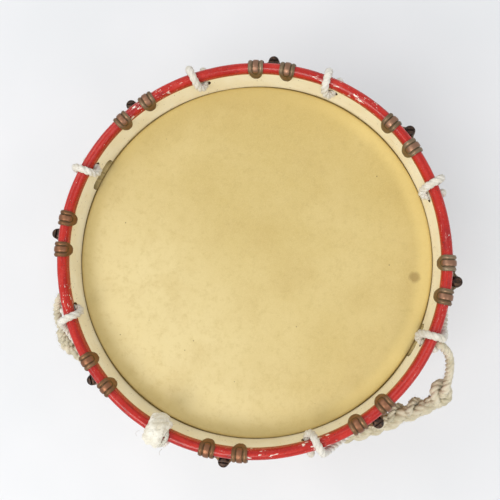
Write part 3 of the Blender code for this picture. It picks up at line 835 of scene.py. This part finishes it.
def make_drag_rope(cotton):
    """The plaited drag rope: lead, knot, plait and the lead into the left hole."""
    centre = route_points([KNOT_CENTRE])[0]
    through, behind = ([centre + MM * Vector(row) for row in rows] for rows in (KNOT_RUN, KNOT_BACK))
    start = [(-24.6, 194.4, 17.0), (-24.8, 194.6, 13.5)]
    lead = even_points(route_points(start + RIGHT_LEAD) + through[1:3], LEAD_STEP)
    build = Build()
    build.rope(lead, LEAD_RADIUS, LEAD_PITCH)
    build.fibres(surface_spots(lead, LEAD_RADIUS), 260, 1.9 * MM, 11)
    right = add_rope("drag_rope_right", build, cotton, ["drag_rope_right_lead"])

    run, back = even_points(through[2:], LEAD_STEP), even_points(behind, LEAD_STEP)
    build = Build()
    build.rope(run, LEAD_RADIUS * 1.14, LEAD_PITCH, swell=lambda t: 1.0 - 0.1 * smooth(1 - 8 * t))
    build.rope(back, LEAD_RADIUS * 1.2, LEAD_PITCH)
    build.fibres(surface_spots(run + back, LEAD_RADIUS), 260, 1.6 * MM, 12)
    knot = add_rope("drag_rope_overhand_knot", build, cotton, ["drag_rope_knot"])

    plait = even_points(route_points(PLAIT), ROPE_STEP)
    build = Build()
    sizes = (CORE_RADIUS, CORE_RADIUS * 0.82, WINDER_RADIUS)
    for k, (strand, size) in enumerate(zip(plait_strands(plait), sizes)):
        build.rope(strand, size, 3.8 * size, sides=21, groove=0.36,
                   swell=lambda t, k=k: 1.0 + 0.1 * noise.noise(Vector((t * 45, k * 3.1, 4.4))))
        ends = [p for p in strand if p.z > RIM_HIGH - 72 * MM]
        build.fibres(surface_spots(ends, size), 330, 2.2 * MM, 20 + k)
    tucked = [(-167.8, 196.6, 17.2), (-168.8, 193.8, 18.6)]
    left = even_points(route_points(LEFT_LEAD + tucked), LEAD_STEP)
    build.rope(left, LEAD_RADIUS, LEAD_PITCH)
    build.fibres(surface_spots(left, LEAD_RADIUS), 160, 1.9 * MM, 14)
    hanging = add_rope("drag_rope_plaited", build, cotton, ["drag_rope_plait", "drag_rope_left_lead"])


# ---------------------------------------------------------------- tension rope

def make_tension_rope(cotton):
    """One laced rope; its bottom loops are pressed flat on the floor."""
    points = even_points(tension_rope_route(), ROPE_STEP)
    build = Build()
    build.rope(points, ROPE_RADIUS + 0.15 * MM, 16 * MM, groove=0.27, floor=0.0,
               swell=lambda t: 1.0 + 0.05 * noise.noise(Vector((t * 420, 1.0, 2.0))))
    seen = [p for p in points if p.z > RIM_HIGH - 14 * MM]
    build.fibres(surface_spots(seen, ROPE_RADIUS), 1500, 1.2 * MM, 5)
    add_rope("laced_tension_rope", build, cotton, ["tension_rope"])


def make_end_knot(cotton):
    """The two ends wound and caked together over the rim: fused turns with folds and pits."""
    centre = hole_angle(KNOT_STATION, True) + 2.0
    side = polar(centre + 90, 1.0)
    dice = random.Random(8)
    turns = Build()
    for shift, reach, size, low, high, skew in (
            (-6.6, 10.6, 4.2, -0.06, 0.98, 1.2), (-1.6, 12.2, 4.5, -0.1, 1.08, -1.0),
            (3.6, 12.0, 4.4, -0.02, 1.1, 0.8), (7.4, 10.4, 3.5, 0.05, 1.0, -1.4),
            (-3.6, 9.2, 4.2, -0.12, 1.12, 2.2)):
        line = []
        for step in range(15):
            a = pi * (low + (high - low) * step / 14)
            out = polar(centre, cos(a), sin(a))
            wander = skew * sin(a * 1.3) + 0.8 * noise.noise(Vector((shift, step * 0.45, 1.0)))
            line.append(polar(centre, ROUND_CENTRE, level(ROUND)) + reach * MM * out
                        + (shift + wander) * MM * side)
        turns.rope(even_points(line, LEAD_STEP), size * MM, 15 * MM, sides=12, groove=0.2)
    holder = put("turns", turns.mesh("turns"))
    fuse = holder.modifiers.new("fuse", "REMESH")
    fuse.mode, fuse.voxel_size = "VOXEL", 0.6 * MM
    ease = holder.modifiers.new("ease", "SMOOTH")
    ease.factor, ease.iterations = 0.5, 5
    fused = baked(holder)
    bpy.data.objects.remove(holder)
    for vert, normal in [(v, v.normal.copy()) for v in fused.vertices]:
        place = vert.co.copy()
        fold = ripple(place, 190, 0.8 * MM, 3.0) + ripple(place, 480, 0.28 * MM, 1.0)
        pit = -0.6 * MM * smooth((noise.noise(place * 300 + Vector((9, 1, 4))) - 0.38) / 0.2)
        vert.co = place + (fold + pit) * normal
    tail = route_points([(centre + across, radius, depth) for across, radius, depth in (
        (1.6, 197.5, 1.5), (2.7, 195.2, -1.0), (3.4, 191.4, -2.8), (3.7, 187.2, -3.4), (3.5, 183.2, -2.8),
        (2.8, 180.0, -0.6))])
    strands = Build()
    strands.rope(even_points(tail, 1.0 * MM), 2.2 * MM, 9 * MM, sides=12, groove=0.25)
    spots = [(v.co.copy(), v.normal.copy()) for v in fused.vertices]
    strands.fibres([spots[dice.randrange(len(spots))] for _ in range(800)], 170, 1.5 * MM, 31)
    for angle, radius, lift in ((centre - 4.5, 199.0, 3.0), (centre + 3.5, 203.5, 2.0),
                                (centre - 1.0, 201.0, 1.0)):
        start = polar(angle, radius * MM - 4 * MM, level(ROUND))
        whisker = [start, start + polar(angle - 20, 3 * MM, lift * MM), start + polar(angle + 8, 6 * MM)]
        strands.rope(even_points(whisker, 1.5 * MM), 0.16 * MM, 4 * MM, sides=6, groove=0.1)
    whole = joined("rope_end_wrapping", strands.mesh("strands"), fused)
    add_piece("rope_end_wrapping", whole, cotton, ["rope_end_knot"], smooth=None)


# ---------------------------------------------------------------- hoops, skins and shell

HOOP_SIDES = 320
HEAD_SIDES = 240
SHELL_SIDES = 192


def hoop_mesh(name, top):
    sign = -1.0 if top else 1.0
    rim = RIM_HIGH if top else RIM_LOW
    ease = 0.7 * MM
    rows = [(HOOP_OUTER, d * MM) for d in (36, 30, 24, 18, 12, 8)]
    rows += [(ROUND_CENTRE + ROUND * cos(a), ROUND - ROUND * sin(a))
             for a in [pi * step / 18 for step in range(19)]]
    rows += [(HOOP_INNER, d * MM) for d in (8, 12, 18, 24, 30, 36)]
    rows += [(HOOP_INNER, HOOP_HEIGHT - ease), (HOOP_INNER + ease, HOOP_HEIGHT),
             (HOOP_OUTER - ease, HOOP_HEIGHT), (HOOP_OUTER, HOOP_HEIGHT - ease)]

    def wobble(spot):
        # Bent a little square in its steaming, as old hoops are.
        square = cos(4 * (atan2(spot.y, spot.x) - radians(8.0)))
        out = ripple(spot, 22, 0.2 * MM, 2.0) + ripple(spot, 110, 0.09 * MM) + (0.2 - 0.6 * square) * MM
        return outward(spot) * out + Vector((0, 0, sign * abs(ripple(spot, 18, 0.2 * MM, 5.0))))
    return turned_mesh(name, [(r, rim + sign * d) for r, d in rows], HOOP_SIDES, wobble)


def gate_outline(grow):
    half, corner = GATE_WIDTH / 2 + grow, GATE_CORNER
    points = [(-half, -4 * MM), (half, -4 * MM)]
    for side, start in ((1, 0.0), (-1, pi / 2)):
        for step in range(7):
            a = start + pi / 2 * step / 6
            points.append((side * (half - corner) + corner * cos(a),
                           GATE_HEIGHT + grow - corner + corner * sin(a)))
    return points


def make_counterhoop(side, top, paint, cut):
    edges = ((HOOP_INNER - 5 * MM, 1.6), (HOOP_INNER - 0.1 * MM, 0.6), (HOOP_INNER + 0.7 * MM, 0.0),
             (HOOP_OUTER - 0.7 * MM, 0.0), (HOOP_OUTER + 0.1 * MM, 0.6), (HOOP_OUTER + 5 * MM, 1.6))
    cutters = []
    for station in range(STATIONS):
        sections = [(x, circle_outline(HOLE_RADIUS + grow * MM, 28)) for x, grow in edges]
        cutters.append(radial_cutter("hole", hole_angle(station, top), level(HOLE_DEPTH, top),
                                     sections, cut))
    if top:
        for angle in GATE_ANGLES:
            sections = [(x, gate_outline(grow * 0.7 * MM)) for x, grow in edges]
            cutters.append(radial_cutter("gate", angle, level(HOOP_HEIGHT), sections, cut))
    mesh = hoop_mesh(side + "_painted_hoop", top)
    mesh.materials.append(paint)
    node = side + "_counterhoop"
    add_piece(side + "_painted_hoop", cut_mesh(mesh, cutters), paint, [node])


def make_head(side, top, material):
    """Stretched skin that rounds over the shell's edge and laps the flesh hoop."""
    collar, under = SHELL_RADIUS + GAP + SKIN, FLESH_DEPTH + FLESH_HEIGHT + GAP
    lap, lip = FLESH_OUTER + GAP, FLESH_DEPTH + 3 * MM
    flat = [(r * MM, HEAD_DEPTH) for r in (0.001, 8, 20, 35, 50, 65, 80, 95, 110, 122, 134, 144, 153,
                                           161, 167, 171, 174)]
    out = flat + [(collar + r * MM, HEAD_DEPTH + d * MM) for r, d in (
        (-2.4, 0.05), (-1.3, 0.25), (-0.4, 0.65), (0.4, 1.3), (1.1, 2.2), (1.7, 3.4), (1.9, 4.6))]
    out += [(collar + 1.9 * MM, under - 1.5 * MM), (collar + 2.1 * MM, under - 0.4 * MM),
            (collar + 2.8 * MM, under), (lap - 1.2 * MM, under), (lap - 0.3 * MM, under - 0.4 * MM),
            (lap, under - 1.3 * MM), (lap, lip)]
    back = [(lap + SKIN, lip), (lap + SKIN, under + 0.1 * MM), (lap - 0.4 * MM, under + SKIN),
            (collar + 1.8 * MM, under + SKIN), (collar + 1.2 * MM, under - 0.6 * MM)]
    back += [(collar + r * MM, HEAD_DEPTH + d * MM) for r, d in (
        (1.2, 5.0), (1.0, 3.8), (0.4, 2.7), (-0.5, 1.8), (-1.5, 1.1), (-3.0, 0.7))]
    back += [(r, HEAD_DEPTH + SKIN) for r, _ in flat[::-1]]

    def wobble(spot):
        radius = hypot(spot.x, spot.y)
        still = smooth((176 * MM - radius) / (25 * MM))
        flat_spot = (spot.x, spot.y, 0.0)
        lift = ripple(flat_spot, 16, 0.3 * MM, 4.0) + ripple(flat_spot, 70, 0.06 * MM)
        return Vector((0, 0, still * lift))
    profile = [(r, level(d, top)) for r, d in out + back]
    mesh = turned_mesh(side + "_calfskin_head", profile, HEAD_SIDES, wobble, closed=False)
    add_piece(side + "_calfskin_head", mesh, material, [side + "_head"])


def make_flesh_hoop(side, top, material):
    near, far = FLESH_DEPTH, FLESH_DEPTH + FLESH_HEIGHT
    corner, profile = 2.4 * MM, []
    for radius, depth, start in ((FLESH_OUTER - corner, near + corner, -90),
                                 (FLESH_OUTER - corner, far - corner, 0),
                                 (FLESH_INNER + corner, far - corner, 90),
                                 (FLESH_INNER + corner, near + corner, 180)):
        for step in range(5):
            x, y, _ = polar(start + 22.5 * step, corner)
            profile.append((radius + x, level(depth + y, top)))

    def wobble(spot):
        return outward(spot) * min(0.0, ripple(spot, 60, 0.3 * MM, 7.0))
    mesh = turned_mesh(side + "_lapped_hoop", profile, HEAD_SIDES, wobble)
    add_piece(side + "_lapped_hoop", mesh, material, [side + "_flesh_hoop"])


def make_shell(brass, eyelet_brass):
    """Brass tube with a lapped upright seam at its back and a turned eyelet."""
    reach = SHELL_HEIGHT / 2
    outer = [(SHELL_RADIUS, MIDDLE + (reach - 1.1 * MM) * (step / 12 - 1)) for step in range(25)]
    edge = [(SHELL_RADIUS + r, MIDDLE + reach + z) for r, z in (
        (-0.35 * MM, -0.3 * MM), (-0.9 * MM, 0.0), (-SHELL_WALL, 0.0))]
    low_edge = [(r, 2 * MIDDLE - z) for r, z in reversed(edge)]

    def wobble(spot):
        return outward(spot) * min(0.0, ripple(spot, 14, 0.25 * MM))
    mesh = turned_mesh("brass_shell", outer + edge + low_edge, SHELL_SIDES, wobble)
    mesh.materials.append(brass)
    bore = circle_outline(VENT_RADIUS, 32)
    hole = radial_cutter("vent", VENT_ANGLE, MIDDLE,
                         [(SHELL_RADIUS - 8 * MM, bore), (SHELL_RADIUS + 8 * MM, bore)], brass)
    add_piece("brass_shell", cut_mesh(mesh, [hole]), brass, ["shell"])
    seam, rows = Build(), []
    for step in range(41):
        z = MIDDLE + (reach - 3 * MM) * (step / 20 - 1)
        rows.append([])
        for across, rise in ((-5.2, -0.3), (-4.6, 0.35), (-3.6, 0.45), (3.6, 0.45), (4.6, 0.35), (5.2, -0.3)):
            wander = ripple((0, across, z), 60, 0.35 * MM)
            angle = SEAM_ANGLE + degrees((across * MM + wander) / SHELL_RADIUS)
            rows[-1].append(polar(angle, SHELL_RADIUS + rise * MM, z))
    seam.tube(rows)
    add_piece("shell_lap_seam", seam.mesh("shell_lap_seam"), brass)
    make_eyelet(eyelet_brass)


def make_eyelet(brass):
    bore, barrel, flange, inside = 3.2 * MM, VENT_RADIUS - GAP, 8.0 * MM, -3.2 * MM
    profile = [(bore, inside), (bore + 0.6 * MM, inside - 0.5 * MM), (barrel, inside), (barrel, 1.2 * MM),
               (flange, 1.2 * MM), (flange, 1.6 * MM), (flange - 0.8 * MM, 2.0 * MM),
               (flange - 2.2 * MM, 2.0 * MM), (bore + 1.1 * MM, 2.0 * MM), (bore + 0.3 * MM, 1.6 * MM),
               (bore, 0.8 * MM)]
    mesh = turned_mesh("turned_vent_eyelet", profile, 40)
    mesh.transform(stand(VENT_ANGLE, SHELL_RADIUS, MIDDLE) @ turned(90, "Y"))
    add_piece("turned_vent_eyelet", mesh, brass, ["air_vent_eyelet"])


# ---------------------------------------------------------------- claws, screws and nuts

def hook_rows():
    """Middle line of a hook, tongue to arm: (radius, depth, out, up, how far from the tongue's tip)."""
    reach = ROUND + HOOK_EASE
    rows = []
    for step in range(12):
        drop = cos(pi / 2 * (step + 0.3) / 11.3)
        rows.append((HOOP_INNER - HOOK_EASE - HOOK_LEAN * drop * drop, ROUND + drop * (HOOK_TIP - ROUND),
                     -1.0, 0.35 * drop))
    for step in range(1, 21):
        a = pi * (1 - step / 20)
        rows.append((ROUND_CENTRE + reach * cos(a), ROUND - reach * sin(a), cos(a), sin(a)))
    for depth in (6.2, 7.4, 8.6, 9.8, 11.5, 14, 17, 20, 23, 26, 28.5, 30.4, 31):
        rows.append((HOOP_OUTER + HOOK_EASE, depth * MM, 1.0, 0.0))
    tip = HOOP_INNER - HOOK_EASE - HOOK_LEAN - HOOK_PLATE
    found = []
    for radius, depth, out, up in rows:
        face, drop = radius + out * HOOK_PLATE, depth - up * HOOK_PLATE
        gone = max(0.05 * MM, face - tip + HOOK_SLANT * (HOOK_TIP - drop))
        found.append((radius, depth, out, up, gone))
    return found


def hook_half(gone):
    """Half the hook's width: its tongue ends in half a circle."""
    return HOOK_HALF * sqrt(1 - (1 - min(1.0, gone / HOOK_HALF)) ** 2)


def hook_height(x, gone, depth, outside):
    """Thickness of a hook and how proud it is: a middle rib in a U of groove, and flanges."""
    away = hypot(x, max(0.0, HOOK_HALF - gone))
    rib, groove = 2.8 * MM, 3.9 * MM
    if away < rib:
        round_top = sqrt(max(0.0, 1 - (away / rib) ** 2))
        rise, proud = (1.45 + 0.5 * round_top) * MM, 0.62 + 0.38 * round_top
    elif away < groove:
        rise, proud = 0.95 * MM, 0.0
    else:
        crown = (away - groove) / (HOOK_HALF - groove)
        rise, proud = (1.25 + 0.4 * sin(pi * min(1.0, crown * 1.15))) * MM, 0.3 + 0.25 * (1 - crown)
    if HOOK_HALF - away < 0.5 * MM:
        rise, proud = rise - 0.3 * MM, 0.4
    if outside:
        lug = smooth((depth - 7 * MM) / (1.5 * MM)) * smooth((14 * MM - depth) / (3 * MM))
        if away > groove + 0.6 * MM:
            rise, proud = rise + 1.5 * MM * lug, 0.15
        if away < rib:
            rise += 0.6 * MM * smooth((depth - 2 * MM) / (4 * MM)) * smooth((30 * MM - depth) / (3 * MM))
    return rise, proud


def add_hook(build, proudness, angle):
    turn = turned(angle)
    shares = [-1.0, -0.94, -0.86, -0.76, -0.66, -0.59, -0.56, -0.5, -0.44, -0.41, -0.33, -0.22, -0.11]
    shares += [0.0] + [-share for share in reversed(shares)]
    rings = []
    for radius, depth, out, up, gone in hook_rows():
        half = hook_half(gone)
        top_row, proud_row = [], []
        for share in shares:
            x = share * half
            rise, proud = hook_height(x, gone, depth, out > 0.99)
            top_row.append(turn @ Vector((radius + out * rise, x, level(depth) + up * rise)))
            proud_row.append(proud)
        rings.append(top_row + [turn @ Vector((radius, share * half, level(depth)))
                                for share in (1.0, 0.4, -0.4, -1.0)])
        proudness.extend(proud_row + [0.0] * 4)
    build.tube(rings)
    proudness.extend([0.2, 0.2])


def shelf_outline():
    inner, wide = HOOP_OUTER + 1.0 * MM, 20.5 * MM
    arm = inner + 3.2 * MM
    points = [(inner, wide * share) for share in (1, 0.5, 0, -0.5, -1)]
    points += [(arm - 0.8 * MM, -wide), (arm, -wide + 0.8 * MM), (arm, -10 * MM)]
    for step in range(13):
        x, y, _ = polar(-78 + 13 * step, BOSS_RADIUS)
        points.append((ROD_CIRCLE + x, y))
    return points + [(arm, 10 * MM), (arm, wide - 0.8 * MM), (arm - 0.8 * MM, wide)]


def claw_master():
    """One top double claw at angle 0: two ribbed hooks, and a shelf bored for the screw."""
    build, proudness = Build(), []
    for side in (-1, 1):
        add_hook(build, proudness, side * HOOK_OFFSET)
    shelf = Build()
    high, low = level(SHELF_TOP), level(SHELF_TOP + SHELF_PLATE)
    middle = Vector((HOOP_OUTER + 5 * MM, 0.0))
    rings = []
    for z, inset in ((low, 0.6), (low + 0.6 * MM, 0.0), (high - 0.6 * MM, 0.0), (high, 0.6)):
        rings.append([])
        for spot in shelf_outline():
            pull = Vector(spot) - middle
            pull = middle + pull - pull.normalized() * inset * MM
            rings[-1].append(Vector((pull.x, pull.y, z)))
    shelf.tube(rings)
    bore = prism([(ROD_CIRCLE + x, y) for x, y in circle_outline(ROD_RADIUS + BORE_GAP, 24)],
                 low - 5 * MM, high + 5 * MM)
    cut = cut_mesh(clean(shelf.mesh("shelf")), [bore])
    proudness.extend([0.3] * len(cut.vertices))
    mesh = joined("claw", build.mesh("hooks"), cut)
    mesh.attributes.new("proud", "FLOAT", "POINT").data.foreach_set("value", proudness)
    return mesh


def make_claws(bronze):
    master = claw_master()
    flip = Matrix.Translation((0, 0, RIM_HIGH + RIM_LOW)) @ Matrix.Diagonal((1, 1, -1, 1))
    for side in ("top", "bottom"):
        for station in range(STATIONS):
            mesh = master.copy()
            if side == "bottom":
                mesh.transform(flip)
            mesh.transform(turned(ROD_ANGLE + station * STEP))
            name = f"{side}_ribbed_claw_{station + 1}"
            add_piece(name, mesh, bronze, [f"{side}_double_claw_{station + 1}"], smooth=40)


def screw_master(slot_turn):
    """A slotted cheese-head screw about its own axis, its lower end threaded."""
    seat = level(SHELF_TOP) + GAP
    tip = level(SHELF_TOP, False) - NUT_HEIGHT - 3.0 * MM
    head = [(0.001, 1.0), (0.3, 0.995), (0.62, 0.97), (0.8, 0.9), (0.92, 0.78), (0.985, 0.6), (1.0, 0.45),
            (1.0, 0.06), (0.97, 0.0)]
    profile = [(HEAD_RADIUS * r, seat + HEAD_HEIGHT * z) for r, z in head]
    start, count = tip + THREAD_LENGTH, 240
    profile += [(ROD_RADIUS, z) for z in (seat, seat - 60 * MM, start + 60 * MM, start + 1 * MM)]
    profile += [(ROD_RADIUS, start - THREAD_LENGTH * k / count) for k in range(count + 1)]
    profile += [(0.001, tip)]

    def thread(spot):
        if spot.z > start or spot.z < tip + 0.3 * MM:
            return Vector()
        turn = atan2(spot.y, spot.x) / tau
        wave = abs(((spot.z / THREAD_PITCH - turn) % 1.0) * 2 - 1)
        fade = smooth((start - spot.z) / (2 * MM))
        return -outward(spot) * THREAD_DEPTH * fade * wave
    mesh = turned_mesh("screw", profile, 24, thread, closed=False)
    reach, half, top = HEAD_RADIUS + 1 * MM, 0.9 * MM, seat + HEAD_HEIGHT
    slot = prism([(-half, -reach), (half, -reach), (half, reach), (-half, reach)],
                 top - 2.2 * MM, top + 1 * MM)
    slot.transform(turned(slot_turn))
    return cut_mesh(mesh, [slot])


def nut_master():
    """A square nut with turned-down corners, about its own axis."""
    high = level(SHELF_TOP, False) - GAP
    low = high - NUT_HEIGHT
    side = NUT_RADIUS * cos(pi / 4)
    rings = []
    for z, bevel in ((low, 0.93), (low + 0.5 * MM, 1.0), (high - 0.5 * MM, 1.0), (high, 0.93)):
        rings.append([])
        for x, y in circle(32):
            reach = min(side / max(abs(x), abs(y)), NUT_RADIUS * 0.955) * bevel
            rings[-1].append(Vector((reach * x, reach * y, z)))
    rings += [[Vector((x, y, z)) for x, y in circle_outline(ROD_RADIUS + BORE_GAP, 32)] for z in (high, low)]
    build = Build()
    build.tube(rings + rings[:1], capped=False)
    return clean(build.mesh("nut"), merge=True)


def make_fittings(steel):
    nut = nut_master()
    for kind in ("screw", "nut"):
        for station in range(STATIONS):
            k = station + 1
            mesh = screw_master(SLOT_TURNS[station]) if kind == "screw" else nut.copy()
            mesh.transform(stand(ROD_ANGLE + station * STEP, ROD_CIRCLE))
            if kind == "screw":
                add_piece(f"slotted_screw_{k}", mesh, steel, [f"tension_screw_{k}"],
                          body=f"screw_{k}", smooth=40)
            else:
                add_piece(f"square_nut_{k}", mesh, steel, [f"tension_nut_{k}"], smooth=30)


# ---------------------------------------------------------------- stage

FLOOR_HALF = 4.0


def make_stage():
    bpy.context.scene.view_settings.view_transform = "Standard"
    mesh = bpy.data.meshes.new("floor")
    corners = [(FLOOR_HALF * x, FLOOR_HALF * y, 0) for x, y in ((-1, -1), (1, -1), (1, 1), (-1, 1))]
    mesh.from_pydata(corners, [], [(0, 1, 2, 3)])
    s = Surface("floor_paper")
    tone = s.noise(3, 2)
    s.finish(colour=s.mix(s.band(tone, 0.3, 0.7), (230, 231, 232), (236, 236, 237)), rough=0.9)
    mesh.materials.append(s.material)
    floor = put("floor", mesh)
    world = bpy.data.worlds.new("studio")
    bpy.context.scene.world = world
    world.use_nodes = True
    back = world.node_tree.nodes["Background"]
    back.inputs["Color"].default_value = (0.95, 0.97, 1.0, 1.0)
    back.inputs["Strength"].default_value = 0.78
    for name, place, size, power, colour in (
            ("soft_key", (-0.8, -1.1, 2.5), 1.4, 26.0, (1.0, 0.98, 0.95)),
            ("soft_fill", (1.3, -0.9, 2.3), 1.3, 6.0, (0.97, 0.98, 1.0)),
            ("soft_back", (-1.3, 0.9, 2.3), 1.3, 7.0, (1.0, 1.0, 1.0))):
        data = bpy.data.lights.new(name, "AREA")
        data.shape, data.size, data.energy, data.color = "DISK", size, power, colour
        lamp = put(name, data)
        lamp.location = place
        aim = Vector((0.0, 0.0, RIM_HIGH)) - Vector(place)
        lamp.rotation_mode = "QUATERNION"
        lamp.rotation_quaternion = aim.to_track_quat("-Z", "Y")


def dress_rings(wood):
    """The reinforcing rings keep their CAD shape and get wood."""
    for name in ("top_edge_ring", "bottom_edge_ring"):
        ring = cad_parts[name]
        ring.data.materials.clear()
        ring.data.materials.append(wood)


def make_drum():
    place_camera()
    drag_cotton, laced_cotton, caked_cotton = (
        cotton_material(name + "_rope_cotton", *looks) for name, *looks in (
            # The drag rope's greenish grey patches stand partly for painted shade between its strands.
            ("drag", (230, 219, 192), (206, 195, 163), (146, 141, 114), 0.6),
            ("laced", (246, 241, 229), (233, 225, 205), (188, 175, 145), 0.4),
            ("caked", (242, 238, 224), (224, 217, 197), (180, 167, 136), 0.45)))
    make_drag_rope(drag_cotton)
    make_tension_rope(laced_cotton)
    make_end_knot(caked_cotton)
    cut = cut_wood_material()
    bronze, steel = bronze_material(), steel_material()
    lapped = lapped_material()
    for side, top in (("top", True), ("bottom", False)):
        make_counterhoop(side, top, paint_material(side + "_hoop_paint", top), cut)
        make_head(side, top, skin_material(top))
        make_flesh_hoop(side, top, lapped)
    make_shell(brass_material(), eyelet_material())
    make_claws(bronze)
    make_fittings(steel)
    dress_rings(wood_material())
    make_stage()


make_drum()
